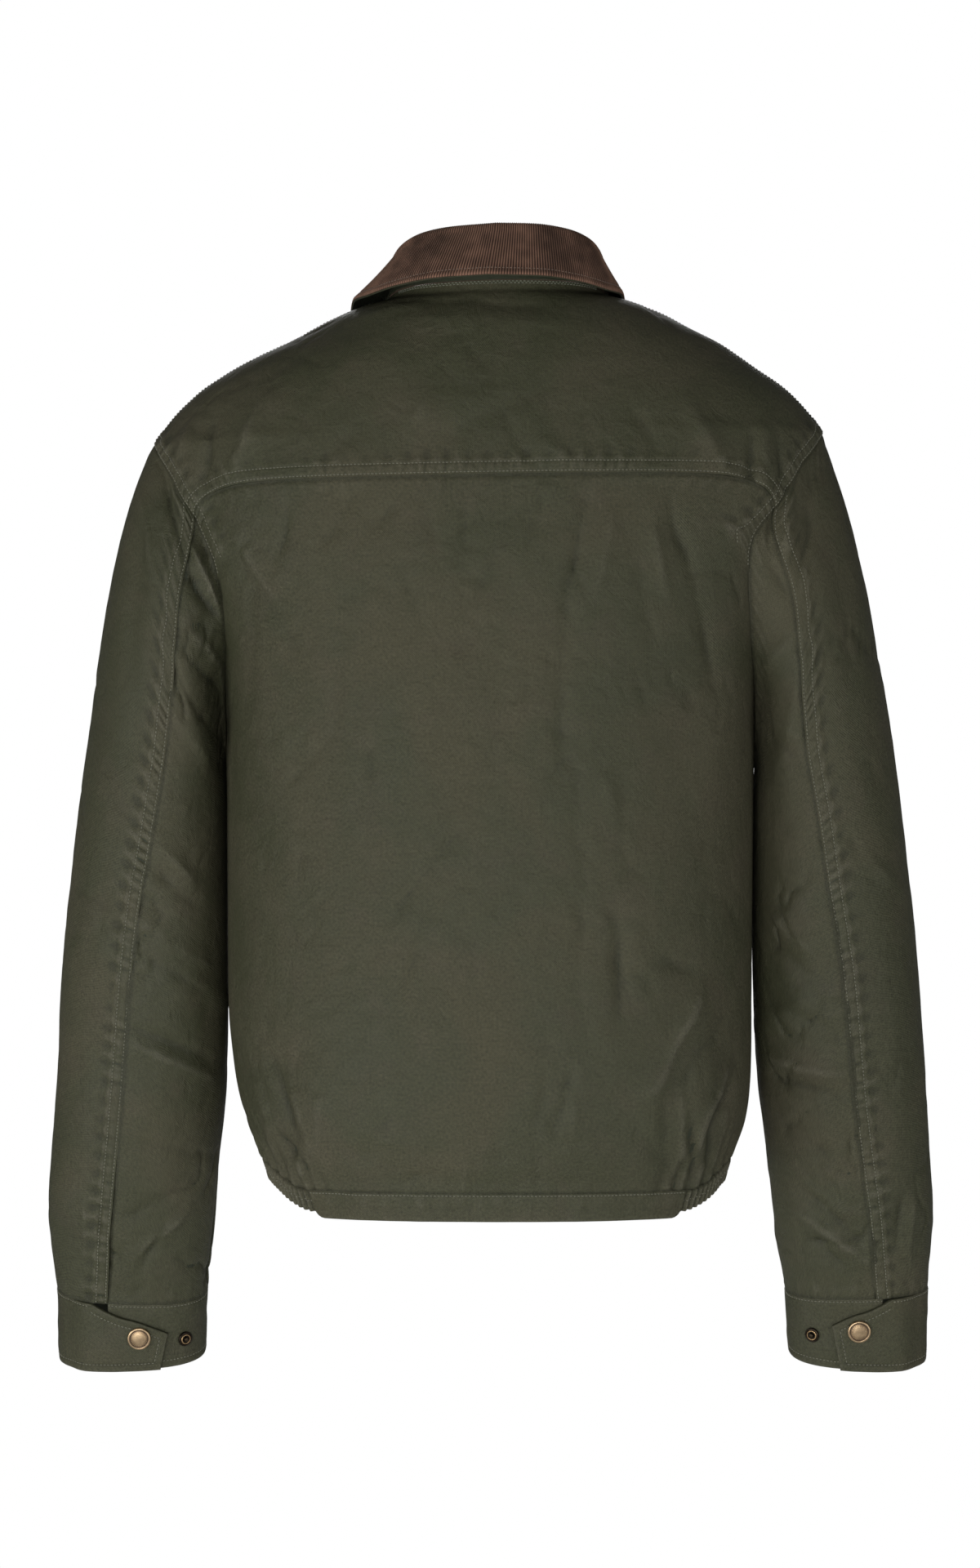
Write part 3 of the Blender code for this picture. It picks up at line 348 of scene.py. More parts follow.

# Creases, listed as lines in x and z on the back or the front of a group of panels.
CREASES = {
    "body_back": (
        # from_x, from_z, to_x, to_z, half_width, rise
        (141, -150, 146, -186, 6, -1.1),
        (95, -146, 119, -178, 6, -1.0),
        (66, -145, 78, -172, 6, -0.7),
        (46, -150, 37, -195, 7, -0.5),
        (14, -146, 18, -184, 6, -0.7),
        (-18, -156, 9, -220, 6, -0.8),
        (-36, -150, -27, -184, 6, -0.8),
        (-68, -149, -55, -207, 7, -1.3),
        (-55, -207, -48, -342, 9, -1.1),
        (-85, -160, -76, -210, 8, 0.8),
        (-125, -146, -145, -210, 8, -1.8),
        (-145, -210, -158, -276, 9, -1.5),
        (-114, -152, -122, -210, 8, 1.0),
        (-101, -184, -116, -268, 9, -0.6),
        (104, -220, 111, -342, 10, -0.7),
        (83, -317, 92, -360, 3, -0.4),
        (166, -215, 171, -293, 9, -0.8),
        (-12, -207, -3, -342, 11, -0.6),
        (176, -176, 150, -222, 6, 1.2),
        (168, -196, 138, -250, 6, -1.0),
        (12, -369, 42, -402, 3.6, -0.6),
        (42, -402, 66, -442, 3.6, -0.75),
        (36, -436, 51, -457, 3.6, -0.6),
        (88, -320, 80, -360, 4, -0.5),
        (-81, -350, -96, -391, 9, 0.7),
        (-86, -467, -91, -508, 6, -0.8),
        (163, -528, 132, -599, 6, -0.7),
        (132, -589, 140, -612, 5, -0.9),
        (-173, -538, -153, -609, 6, -0.9),
        (-138, -584, -141, -614, 5, -0.7),
        (30, -372, 60, -412, 4.5, 0.3),
        (48, -462, 79, -508, 4.0, -0.8),
        (46, -440, 66, -482, 4.5, 0.35),
        (60, -496, 74, -510, 3.2, -0.35),
        (-61, -341, -62, -515, 9, -0.7),
        (-91, -341, -95, -415, 9, -0.8),
        (-86, -440, -92, -505, 9, -1.5),
        (-120, -470, -154, -484, 9, -1.3),
        (-150, -488, -113, -560, 10, 1.7),
        (-166, -510, -131, -566, 8, -1.2),
        (-55, -543, -47, -592, 3.6, -0.8),
        (-63, -536, -58, -592, 5, 0.45),
        (-98, -586, -122, -611, 6, -0.8),
        (-175, -546, -151, -610, 5, -1.8),
        (-165, -549, -144, -606, 5, 1.3),
        (-143, -582, -141, -617, 4, -1.7),
        (154, -537, 136, -598, 6, -1.5),
        (144, -543, 125, -604, 7, 0.9),
        (148, -595, 129, -617, 4, -2.1),
        (136, -598, 133, -620, 4, 1.0),
        (104, -603, 68, -613, 6, -0.6),
        (79, -592, 66, -578, 5, -0.7),
        (-24, -524, -62, -531, 7, -0.5),
        (-36, -520, -32, -626, 5, -0.5),
        (120, -560, 116, -606, 9, 0.8),
        (164, -560, 150, -606, 5, 0.9),
        (-134, -560, -138, -610, 6, 1.2),
        (-120, -572, -124, -612, 5, -0.8),
        (96, -584, 60, -600, 5, 0.5),
        (-30, -596, -70, -606, 5, 0.4),
        (20, -560, 60, -574, 7, 0.35),
        (20, -600, 18, -628, 7, 0.6),
        (-8, -590, -10, -628, 7, -0.5),
    ),
    "yoke": (
        (44, -5, -38, -9, 5, -0.7),
        (98, -19, 50, -9, 5, 0.6),
        (60, -20, -52, -22, 7, 0.5),
        (158, -76, 186, -128, 12, 2.2),
        (-140, -84, -168, -128, 13, 1.9),
        (200, -84, 204, -140, 7, -2.0),
        (214, -90, 222, -122, 6, 1.0),
        (-186, -104, -184, -152, 6, -1.5),
        (-196, -100, -195, -148, 7, 0.7),
        (-206, -98, -212, -140, 6, -1.3),
        (44, -76, 58, -94, 10, 0.8),
        (37, -110, -37, -68, 8, -0.6),
        (-98, -85, -116, -108, 8, -0.7),
        (90, -98, 120, -118, 8, -0.6),
        (-30, -104, -60, -122, 8, 0.5),
    ),
    "body_front": (
        (150, -190, 104, -236, 6, 1.2),
        (-150, -194, -110, -246, 6, 1.3),
        (166, -222, 118, -270, 6, -1.1),
        (-164, -228, -122, -280, 6, -1.2),
        (60, -110, 36, -190, 8, 0.8),
        (-62, -116, -34, -196, 8, 0.8),
        (88, -420, 42, -448, 8, 1.0),
        (-96, -404, -52, -436, 8, 1.1),
        (70, -520, 30, -540, 7, 0.8),
        (-64, -508, -28, -532, 7, -0.8),
        (120, -540, 118, -612, 6, 1.4),
        (106, -556, 105, -616, 5, -1.4),
        (-124, -546, -121, -612, 6, 1.5),
        (-108, -560, -107, -616, 5, -1.4),
        (78, -580, 77, -624, 6, 0.8),
        (-80, -585, -79, -624, 6, 0.8),
    ),
    "sleeve_left": (
        (235, -119, 216, -185, 7, -2.6),
        (249, -140, 238, -200, 8, 1.2),
        (211, -179, 188, -221, 5, 3.0),
        (213, -198, 192, -228, 5, -2.6),
        (205, -166, 191, -205, 4, -1.8),
        (213, -235, 191, -266, 6, 1.3),
        (222, -266, 197, -310, 6, -1.2),
        (228, -290, 200, -330, 7, 0.9),
        (244, -379, 213, -416, 7, 1.2),
        (247, -398, 212, -432, 6, -0.9),
        (247, -466, 194, -504, 7, -1.1),
        (250, -446, 200, -478, 7, 0.9),
        (253, -522, 194, -548, 7, -1.5),
        (250, -535, 197, -560, 7, 1.2),
        (260, -604, 200, -616, 7, -0.9),
        (257, -692, 219, -654, 5, 1.5),
        (263, -660, 225, -640, 6, -1.0),
        (252, -700, 236, -668, 4, -1.4),
        (285, -679, 282, -646, 5, -1.2),
        (296, -690, 294, -650, 5, 0.9),
        (296, -420, 268, -440, 8, -0.7),
        (288, -300, 262, -322, 9, -0.7),
    ),
    "sleeve_right": (
        (-207, -135, -197, -180, 5, -1.8),
        (-216, -128, -210, -180, 6, 1.3),
        (-232, -130, -222, -190, 8, -1.7),
        (-197, -191, -213, -216, 5, -1.2),
        (-194, -262, -219, -241, 7, 1.2),
        (-203, -317, -229, -342, 7, -1.1),
        (-198, -300, -230, -322, 7, 0.9),
        (-194, -435, -241, -476, 8, 1.4),
        (-197, -457, -238, -491, 7, -1.3),
        (-191, -498, -244, -523, 7, -1.1),
        (-188, -541, -254, -557, 7, 1.4),
        (-192, -556, -250, -571, 7, -1.3),
        (-207, -591, -250, -616, 7, -0.9),
        (-272, -692, -219, -654, 5, 1.5),
        (-266, -676, -225, -638, 5, -1.2),
        (-262, -702, -236, -676, 4, -1.2),
        (-294, -679, -297, -646, 5, -1.4),
        (-304, -690, -305, -650, 5, 1.0),
        (-270, -400, -296, -424, 8, 0.8),
        (-262, -240, -286, -270, 9, -0.8),
    ),
    "sleeve_front": (
        (200, -356, 244, -380, 6, 1.3),
        (206, -370, 246, -394, 5, -1.0),
        (204, -440, 262, -452, 7, 1.4),
        (206, -456, 262, -470, 6, -1.1),
        (208, -520, 272, -530, 7, 1.1),
        (214, -600, 270, -612, 6, 1.0),
        (238, -716, 240, -684, 4, 1.3),
        (256, -716, 260, -690, 4, -1.1),
        (280, -716, 284, -680, 5, 1.2),
        (232, -160, 216, -216, 8, 1.3),
        (250, -150, 236, -210, 8, -1.2),
    ),
}

# ---- front zip ----
ZIP_TOP = -71.5
ZIP_FOOT = -641.0
TAPE_FROM = 0.3
TAPE_HALF = 16.0
TAPE_DEPTHS = (4.3, 5.2)
TOOTH_PITCH = 2.7
TOOTH = (3.6, 1.15, 1.25)
TOOTH_ASIDE = 1.0
TOOTH_DEPTH = 1.75
METAL_EDGE = 0.00028

# ---- snaps: degrees round the cuff and share down it, and profiles of radius, height and wear ----
SNAP_LIFT = 0.7
CAP_DOWN = {1: 0.48, -1: 0.43}
STUD_DOWN = {1: 0.58, -1: 0.54}
CAP_TURN = {1: 454.5, -1: 450.5}
STUD_TURN = {1: 132.5, -1: 127.0}
CAP = np.array((
    (8.0, -0.9, 0.2), (8.5, -0.5, 0.5), (8.55, 0.3, 0.9), (8.35, 0.85, 1), (7.9, 1.2, 1),
    (7.35, 1.32, 0.9), (6.95, 1.22, 0.3), (6.7, 1.05, 0.1), (6.4, 1.05, 0.1), (5.6, 1.3, 0.5),
    (4.4, 1.55, 0.8), (3.0, 1.72, 0.9), (1.4, 1.8, 1), (0.3, 1.82, 1),
))
STUD = np.array((
    (5.3, -0.9, 0), (5.5, -0.5, 0), (5.5, 0.6, 0.1), (5.2, 0.95, 0.1), (4.7, 1.1, 0.1),
    (4.3, 0.95, 0), (4.1, 0.7, 0), (3.9, 0.75, 0.2), (3.75, 1.15, 0.9), (3.4, 1.4, 1),
    (3.0, 1.3, 1), (2.8, 0.8, 0.4), (2.6, 0.5, 0.1), (1.9, 0.5, 0), (1.75, 1.3, 0),
    (1.8, 1.9, 0.1), (1.5, 2.3, 0.1), (1.0, 2.45, 0.2), (0.2, 2.5, 0.2),
))
CAP_CORNERS = 64
STUD_CORNERS = 48
CAP_STROKES = 26
STROKE = (1.5, 0.42, 0.5)
STROKE_PLACE = (5.2, 1.38)

# ---- colours ----
WAXED_GREEN = (0.051, 0.0525, 0.0285)
WAXED_BROWN = (0.062, 0.0585, 0.0345)
WAX_STAIN = (0.074, 0.062, 0.042)
# paler tone for raised relief: a painted highlight that also stands for rubbed wax
RUBBED_AND_HIGHLIT_WAX = (0.125, 0.118, 0.086)
# painted shade for sunk relief and for borders under a lap
SUNK_WAX_PAINTED_SHADE = (0.020, 0.021, 0.013)
PLAIN_INSIDE = (0.030, 0.034, 0.020)
# corduroy: the near black foot is painted shade in the grooves between the wales; the top is the pile's own
# brown, also shown at the worn edge
PILE_FOOT = (0.012, 0.006, 0.004)
PILE_TOP = (0.300, 0.165, 0.112)
PILE_FLECK = (0.270, 0.160, 0.112)
PILE_SHEEN = (0.75, 0.52, 0.40, 1)
TAPE_OLIVE = (0.040, 0.043, 0.028)
# metal: rubbed bright, and dull in the hollows
CAP_BRASS = (0.55, 0.40, 0.24), (0.09, 0.06, 0.04)
STUD_BRASS = (0.50, 0.34, 0.18), (0.020, 0.017, 0.014)
ZIP_BRASS = (0.42, 0.30, 0.15), (0.10, 0.07, 0.035)
# thread: name of the piece, colour
THREADS = {
    "thread": ("stitches", (0.150, 0.148, 0.106)),
    "pale_thread": ("pale_stitches", (0.155, 0.165, 0.115)),
    "collar_thread": ("collar_stitches", (0.16, 0.105, 0.075)),
}

# ---- studio, in metres and watts ----
WORLD_LIGHT = 0.13
FLOOR = -1.8
FLOOR_HALF = 4
LAMPS = (
    # name, place, size, power
    ("key", (2.9, 2.4, -1.00), (1.6, 1.4), 44),
    ("middle", (0.9, 4.3, -1.25), (2.2, 1.3), 82),
    ("fill", (-2.9, 2.6, -1.00), (1.8, 1.4), 29),
    ("front", (0.0, -3.3, 0.7), (1.2, 1.4), 76),
)
LIT_PLACE = (0, 0, -0.35)
CAMERA_PLACE = (0, 3.4, -0.347)
CAMERA_LENS = 108.05
CAMERA_SENSOR = 36


# ---- reading tables ----

def read(rows, name, at):
    """A column of a table at any place, by a cubic that never overshoots its rows."""
    places = next(iter(rows.values()))
    values = rows[name]
    widths = np.diff(places)
    rates = np.diff(values) / widths
    same_way = rates[1:] * rates[:-1] > 0
    before, after = 2 * widths[1:] + widths[:-1], widths[1:] + 2 * widths[:-1]
    slopes = np.concatenate([rates[:1], np.zeros(len(rates) - 1), rates[-1:]])
    mean = (before + after)[same_way] / (
        before[same_way] / rates[:-1][same_way] + after[same_way] / rates[1:][same_way]
    )
    slopes[1:-1][same_way] = mean
    at = np.clip(at, places[0], places[-1])
    row = np.clip(np.searchsorted(places, at, side="right") - 1, 0, len(widths) - 1)
    part = (at - places[row]) / widths[row]
    rest = 1 - part
    return (
        values[row] * (1 + 2 * part) * rest**2
        + values[row + 1] * (3 - 2 * part) * part**2
        + widths[row] * (slopes[row] * part * rest**2 - slopes[row + 1] * rest * part**2)
    )


def signed_power(value, power):
    """A power of the size that keeps the sign."""
    return np.sign(value) * np.abs(value) ** power


def ease(value):
    """0 to 1 with level ends."""
    value = np.clip(value, 0, 1)
    return value * value * (3 - 2 * value)


def ease_out(value):
    """0 to 1, steep at first and level at the end."""
    return 1 - (1 - np.clip(value, 0, 1)) ** 2


def bell(value):
    """1 at nought, falling off evenly to both sides as e to the minus square."""
    return np.exp(-value * value)


def round_off(value):
    """1 at nought, falling along a quarter circle to 0 at one, as a folded edge does."""
    return 1 - np.sqrt(1 - (1 - np.clip(value, 0, 1)) ** 2)


def unit(vectors):
    """Vectors divided by their own length."""
    return vectors / np.maximum(np.linalg.norm(vectors, axis=-1, keepdims=True), 1e-9)


def joined(*parts):
    """Arrays or numbers of one shape, stacked as the coordinates of points."""
    return np.stack(np.broadcast_arrays(*parts), axis=-1).astype(float)


def fold(from_x, from_y, to_x, to_y, half_x, half_y, rise, x, y, crisp=False):
    """A ridge: its rise falls off across the line between two places, and past its ends, as a soft bell or,
    where it is crisp, from a narrow crest."""
    line_x, line_y = (to_x - from_x) / half_x, (to_y - from_y) / half_y
    there_x, there_y = (x - from_x) / half_x, (y - from_y) / half_y
    along = np.clip((there_x * line_x + there_y * line_y) / (line_x**2 + line_y**2), 0, 1)
    square = (there_x - along * line_x) ** 2 + (there_y - along * line_y) ** 2
    across = np.exp(-CRISP * (np.sqrt(square + 0.04) - 0.2)) if crisp else np.exp(-1.2 * square)
    return rise * across * (0.55 + 0.45 * np.sin(math.pi * along))


def normal_of(form, first, second, first_step, second_step):
    """Outward normal of a form of two parameters, from small steps to both sides."""
    along = form(first + first_step, second) - form(first - first_step, second)
    up = form(first, second + second_step) - form(first, second - second_step)
    return unit(np.cross(along, up))


def noise(points, size, seed):
    """Smooth random values from -1 to 1 in space: random numbers at the corners of cubes, eased between."""
    table_of = np.random.default_rng(seed).uniform(-1, 1, (32, 32, 32))
    cells = points / size + 100.5
    low = np.floor(cells).astype(int)
    part = ease(cells - low)
    total = 0
    for corner in np.ndindex(2, 2, 2):
        index = (low + corner) % 32
        weight = np.prod(np.where(np.array(corner) == 1, part, 1 - part), axis=-1)
        total = total + weight * table_of[index[..., 0], index[..., 1], index[..., 2]]
    return total


# ---- the body's form ----

def section(angle, height):
    """Superellipse section at each height: angle 0 is the centre front, a quarter turn the wearer's left."""
    across, along = np.sin(angle), np.cos(angle)
    depth = np.where(along > 0, read(BODY, "front_depth", height), read(BODY, "back_depth", height))
    power = 2 / read(BODY, "squareness", height)
    x = read(BODY, "half_width", height) * signed_power(across, power)
    return joined(x, -depth * signed_power(along, power), height)


def plain_body(angle, height):
    """The section as it stands: stepped aside, and tipped in proportion to the distance from the middle."""
    points = section(angle, height)
    tip = read(STANCE, "tip", height) * points[..., 0] / STANCE_HALF
    return points + joined(read(STANCE, "aside", height), 0, -tip)


def body(angle, height):
    """The body's skin with its broad folds, which lie on the back and fade out towards the sides."""
    points = plain_body(angle, height)
    out = normal_of(plain_body, angle, height, 1e-3, 0.5)
    rise = sum(
        fold(x0, z0, x1, z1, half, half * 1.6, high, points[..., 0], points[..., 2])
        for x0, z0, x1, z1, half, high in BODY_FOLDS
    )
    behind = ease((points[..., 1] - 5) / 50)
    return points + out * (rise * behind)[..., None]


def body_normal(angle, height):
    """Outward normal of the body's skin."""
    return normal_of(body, angle, height, 2e-3, 1.0)


def angle_at(x, height, behind):
    """The body angle whose place lies x to the side of the centre line."""
    power = read(BODY, "squareness", height) / 2
    share = np.clip(x / read(BODY, "half_width", height), 0, 1)
    angle = np.arcsin(share**power)
    return math.pi - angle if behind else angle


def armhole(turn, side):
    """Body angle and height of the armhole seam, from shoulder tip at turn 0 to underarm at half a circle."""
    share = np.abs(turn) / math.pi
    behind = read(ARMHOLE, "behind_" + SIDES[side], share)
    aside = np.where((turn >= 0) | (share >= 1), behind, -read(ARMHOLE, "before", share))
    height = SHOULDER_TIP - ARMHOLE_DROP * (1 - np.cos(turn)) / 2
    return math.pi / 2 + np.radians(aside), height


def armhole_point(turn, side):
    """Point of the body's skin on an armhole seam."""
    angle, height = armhole(turn, side)
    return body(side * angle, height)


def armhole_seam(turn, side):
    """Points of an armhole seam, the direction its cloth is thick in, and the way from body to sleeve."""
    angle, height = armhole(turn, side)
    half = (1 + np.cos(turn)) / 2
    down = joined(0 * turn, 0.8 * np.sin(turn), -(1 - half))
    thick = unit(body_normal(side * angle, height) * half[..., None] + down)
    step = 1e-3
    along = unit(armhole_point(turn + step, side) - armhole_point(turn - step, side))
    return armhole_point(turn, side), thick, unit(np.cross(along, thick)) * side


def level_rise(way, hem_share, power=LEVEL_POWER):
    """Share of a row's rise at a way from the centre: late and quick at the hem, by a power elsewhere."""
    late = ease((way - HEM_RISE_FROM) / (HEM_RISE_TO - HEM_RISE_FROM))
    return hem_share * late + (1 - hem_share) * way**power


def reached(points):
    """Length along each line of points from its first one."""
    steps = np.linalg.norm(np.diff(points, axis=-2), axis=-1)
    return np.concatenate([0 * steps[..., :1], np.cumsum(steps, axis=-1)], axis=-1)


def row_line(centre_height, edge_angle, edge_height, behind, hem_share, power=LEVEL_POWER):
    """Angles and heights of a row from the centre to its edge, at even lengths along it."""
    height = centre_height + (edge_height - centre_height) * level_rise(FINE, hem_share, power)
    centre = math.pi if behind else angle_at(FRONT_GAP, centre_height, False)
    angle = centre + (edge_angle - centre) * FINE
    length = reached(section(angle, height))
    even = FINE * length[-1]
    return np.interp(even, length, angle), np.interp(even, length, height)


def turn_at(level, behind):
    """Turn of the armhole at a level: 1 is the underarm, 2 the yoke's seam, 3 the shoulder tip."""
    yoke = YOKE_SHARE * math.pi
    low = math.pi + (yoke - math.pi) * (np.clip(level, 1, 2) - 1)
    high = yoke * np.sqrt(np.clip(3 - level, 0, 1))
    turn = np.where(level <= 2, low, high)
    return turn if behind else -turn


def neck_place(round_degrees):
    """Side distance and height of the neck seam, by degrees from the centre back."""
    return NECK_HALF * np.sin(np.radians(round_degrees)), read(NECK, "height", round_degrees)


def ridge(way):
    """Neck point to shoulder tip, as seen from behind."""
    level = neck_place(90.0)[1] + (SHOULDER_TIP - neck_place(90.0)[1]) * way
    return joined(read(BODY, "half_width", level), level)


def top_line(behind):
    """Neck seam and shoulder line as seen from behind, at even shares of a row."""
    neck_share = BACK_NECK_SHARE if behind else FRONT_NECK_SHARE
    start = 0 if behind else 180 - math.degrees(math.asin(FRONT_GAP / NECK_HALF))
    part = np.clip(FINE / neck_share, 0, 1)
    neck = joined(*neck_place(start + (90 - start) * part))
    length = reached(ridge(FINE))
    way = np.interp(np.clip((FINE - neck_share) / (1 - neck_share), 0, 1) * length[-1], length, FINE)
    return np.where((FINE <= neck_share)[:, None], neck, ridge(way))


def row_at(level, behind, side):
    """Angles and heights of a row: level 0 is the hem's seam, 1 the underarm, 2 the yoke's seam and 3 the
    top line of neck and shoulder."""
    top = YOKE_CENTRE if behind else FRONT_YOKE_LEVEL
    if level <= 1:
        edge = HEM_SEAM_SIDE + (SHOULDER_TIP - ARMHOLE_DROP - HEM_SEAM_SIDE) * level
        centre = HEM_SEAM_BACK + (UNDERARM_CENTRE - HEM_SEAM_BACK) * level
        return row_line(centre, SIDE_SEAM_ANGLE, edge, behind, (1 - level) ** 2)
    angle, height = armhole(turn_at(min(level, 2), behind), side)
    centre = UNDERARM_CENTRE + (top - UNDERARM_CENTRE) * (min(level, 2) - 1)
    power = LEVEL_POWER + (YOKE_POWER - LEVEL_POWER) * (min(level, 2) - 1)
    angle, height = row_line(centre, float(angle), float(height), behind, 0, power)
    if level <= 2:
        return angle, height
    base = section(angle, height)[:, [0, 2]]
    row = base + (top_line(behind) - base) * (level - 2)
    edge = section(*armhole(turn_at(level, behind), side))[[0, 2]]
    row = row + FINE[:, None] ** 3 * (edge - row[-1])
    return angle_at(row[:, 0], row[:, 1], behind), row[:, 1]


# ---- the sleeve's form ----

def sleeve(turn, way, side):
    """Skin of a sleeve: superellipse sections strung on its outer and inner lines, drawn in to the
    armhole over its first stretch. Turn 0 is the outer line, a quarter turn the back, half the inner line."""
    wider = 0 if side > 0 else 1
    outer_x = read(SLEEVE, "outer_x", way) + wider * read(RIGHT_HANG, "outer", way)
    inner_x = read(SLEEVE, "inner_x", way) + wider * read(RIGHT_HANG, "inner", way)
    outer = joined(outer_x, 0, read(SLEEVE, "outer_z", way))
    inner = joined(inner_x, 0, read(SLEEVE, "inner_z", way))
    tilt = np.radians(read(SLEEVE, "tilt", way) + wider * read(RIGHT_HANG, "tilt", way))
    back = joined(0, np.cos(tilt), -np.sin(tilt)) * read(SLEEVE, "half_depth", way)[..., None]
    power = 2 / read(SLEEVE, "squareness", way)
    across, deep = signed_power(np.cos(turn), power), signed_power(np.sin(turn), power)
    middle = (outer + inner) / 2 + joined(0, read(SLEEVE, "centre_y", way), 0)
    ring = middle + across[..., None] * (outer - inner) / 2 + deep[..., None] * back
    degrees = np.degrees(turn)
    rise = sum(
        fold(t0, w0, t1, w1, turn_half, way_half, high, degrees, way)
        for which, t0, w0, t1, w1, turn_half, way_half, high in SLEEVE_FOLDS
        if which == side
    )
    ring = ring + unit(ring - middle) * (rise * ease((1 - way) / 0.05))[..., None]
    kept = ease_out(way / CAP_BLEND)[..., None]
    start = armhole_point(np.clip(turn, -math.pi, math.pi), side)
    return start + (ring * np.array((side, 1.0, 1.0)) - start) * kept


def sleeve_normal(turn, way, side):
    """Outward normal of the sleeve."""

    def form(first, second):
        return sleeve(first, second, side)

    inside = np.clip(way, 0.004, CUFF_FOOT)
    return -side * normal_of(form, turn, inside, 2e-3, 2e-3)


# ---- grids ----

def stations(length, near, far, step):
    """Distances along lines of given lengths: close together by both borders and even between them."""
    length = np.atleast_1d(length).astype(float)
    near, far = np.array(near, float), np.array(far, float)
    count = max(2, int(round((length.max() - near[-1] - far[-1]) / step)))
    share = np.linspace(0, 1, count + 1)[1:-1]
    middle = near[-1] + (length[:, None] - far[-1] - near[-1]) * share
    return np.concatenate([near + 0 * length[:, None], middle, length[:, None] - far[::-1]], axis=1)


def at_stations(distances, lengths, *values):
    """Values given along each row, at wanted distances along it."""
    rows = range(len(distances))
    return tuple(
        np.stack([np.interp(distances[row], lengths[row], value[row]) for row in rows]) for value in values
    )


def body_levels(first, last, behind, near, far, step):
    """Levels of a body panel's rows, at wanted distances along its middle."""
    levels = np.linspace(first, last, 121)
    places = [row_at(level, behind, 1) for level in levels]
    middle = len(FINE) // 2
    line = section(np.array([row[0][middle] for row in places]), np.array([row[1][middle] for row in places]))
    length = reached(line)
    return np.interp(stations(length[-1], near, far, step)[0], length, levels)


def body_half(levels, behind, side, near, far, step):
    """Points and outward directions of half a body panel, from the centre line to its edge.

    Along the armhole, the outward directions turn to the seam's own, which hangs straight down at its foot.
    """
    places = [row_at(level, behind, side) for level in levels]
    angle, height = (np.stack(part) for part in zip(*places))
    lengths = reached(section(angle, height))
    distances = stations(lengths[:, -1], near, far, step)
    angle, height = at_stations(distances, lengths, angle, height)
    points, out = body(side * angle, height), body_normal(side * angle, height)
    _, thick, _ = armhole_seam(turn_at(levels, behind), side)
    from_edge = lengths[:, -1:] - distances
    below = np.maximum(SHOULDER_TIP - ARMHOLE_DROP - height[:, -1], 0)
    weight = ease(1 - from_edge / SEAM_TURN) * ease(1 - below / 14)[:, None]
    out = unit(out * (1 - weight[..., None]) + thick[:, None] * weight[..., None])
    return points, out


def mirrored_halves(levels, near, far, step):
    """A panel right across the back, from the wearer's left to their right."""
    left, right = (body_half(levels, True, side, near, far, step) for side in (1, -1))
    return tuple(np.concatenate([one[:, ::-1], other[:, 1:]], axis=1) for one, other in zip(left, right))


def sleeve_grid(side, which):
    """Points and outward directions of a sleeve's top or under panel, from the armhole down to the cuff."""
    ways = np.linspace(0, 1, 161)
    line = sleeve(0 * ways + 0.3 * math.pi, ways, side)
    length = reached(line)
    way = np.interp(stations(length[-1], BY_SEAM, BY_EDGE, STEP)[0], length, ways)
    seam = np.radians(read(BACK_SEAM, SIDES[side], way))[:, None]
    first, last = (0 * seam - math.pi, seam) if which == 0 else (seam, 0 * seam + math.pi)
    turn = first + (last - first) * FINE
    lengths = reached(sleeve(turn, np.broadcast_to(way[:, None], turn.shape), side))
    borders = (BY_EDGE, BY_SEAM) if which == 0 else (BY_SEAM, BY_EDGE)
    distances = stations(lengths[:, -1], *borders, STEP)
    (turn,) = at_stations(distances, lengths, turn)
    way = np.broadcast_to(way[:, None], turn.shape)
    points, out = sleeve(turn, way, side), sleeve_normal(turn, way, side)
    from_seam = reached(points.swapaxes(0, 1)).T
    seam_point, thick, _ = armhole_seam(turn[0], side)
    weight = ease(1 - from_seam / SEAM_TURN)[..., None]
    points[0] = seam_point
    out = unit(out * (1 - weight) + thick[None] * weight)
    return points, out


# ---- borders and seams ----

def seen_from(grid, border):
    """A grid turned so that its first row is the named border."""
    if border == "bottom":
        return grid
    if border == "top":
        return grid[::-1]
    turned = grid.swapaxes(0, 1)
    return turned if border == "left" else turned[::-1]


def put_back(values, border):
    """The reverse of seen_from."""
    if border == "bottom":
        return values
    if border == "top":
        return values[::-1]
    if border == "right":
        values = values[::-1]
    return values.swapaxes(0, 1)


def border_places(points, border):
    """Distance of every point from a border, and how far along the border its grid line starts."""
    view = seen_from(points, border)
    away = reached(view.swapaxes(0, 1)).T
    deep = min(6, len(view) - 1)
    inward, edge = unit(view[deep] - view[0]), unit(np.gradient(view[0], axis=0))
    slant = np.maximum(np.linalg.norm(np.cross(inward, edge), axis=-1), 0.35)
    along = np.broadcast_to(reached(view[0]), away.shape)
    return put_back(away * slant, border), put_back(along, border)


def seam_rise(away, along, lap, width, rows, pucker, seed):
    """Rise of the cloth beside a seam: a lap that ends over the seam's allowance, grooves under the stitch
    rows, and puckers between the rows that come and go along the seam."""
    rise = lap * (1 - ease((away - width) / 4.0))
    if lap > 0:
        rise = rise - 0.35 * (1 - ease(away / 1.1))
    for row in rows:
        rise = rise - GROOVE * bell((away - row) / GROOVE_HALF)
    if pucker:
        middle = float(np.mean(rows)) if rows else width / 2
        line = joined(along, 0 * along, 0 * along)
        phase = 2 * math.pi * along / PUCKER + 3.0 * noise(line, 30.0, seed)
        strength = np.clip(0.75 + 0.9 * noise(line, 26.0, seed + 1), 0.1, 1.5)
        dips = 0.35 - np.exp(-3.0 * (1 - np.cos(phase)))
        rise = rise + pucker * strength * dips * bell((away - middle) / 4.6)
        rise = rise + 0.5 * pucker * strength * np.sin(phase * 0.5 + 1) * bell((away - middle - 8) / 6.0)
    return rise


def creased(points, group):
    """Sum of the listed creases of a group, bent and made uneven by noise."""
    bend = 3.5 * noise(points, 26.0, 7)
    x, z = points[..., 0] + bend, points[..., 2] + 0.6 * bend
    rise = sum(
        fold(x0, z0, x1, z1, half, half * 1.3, high, x, z, True)
        for x0, z0, x1, z1, half, high in CREASES[group]
    )
    uneven = 1 + 0.45 * noise(points, 19.0, 8)
    return FOLD_GAIN * rise * uneven


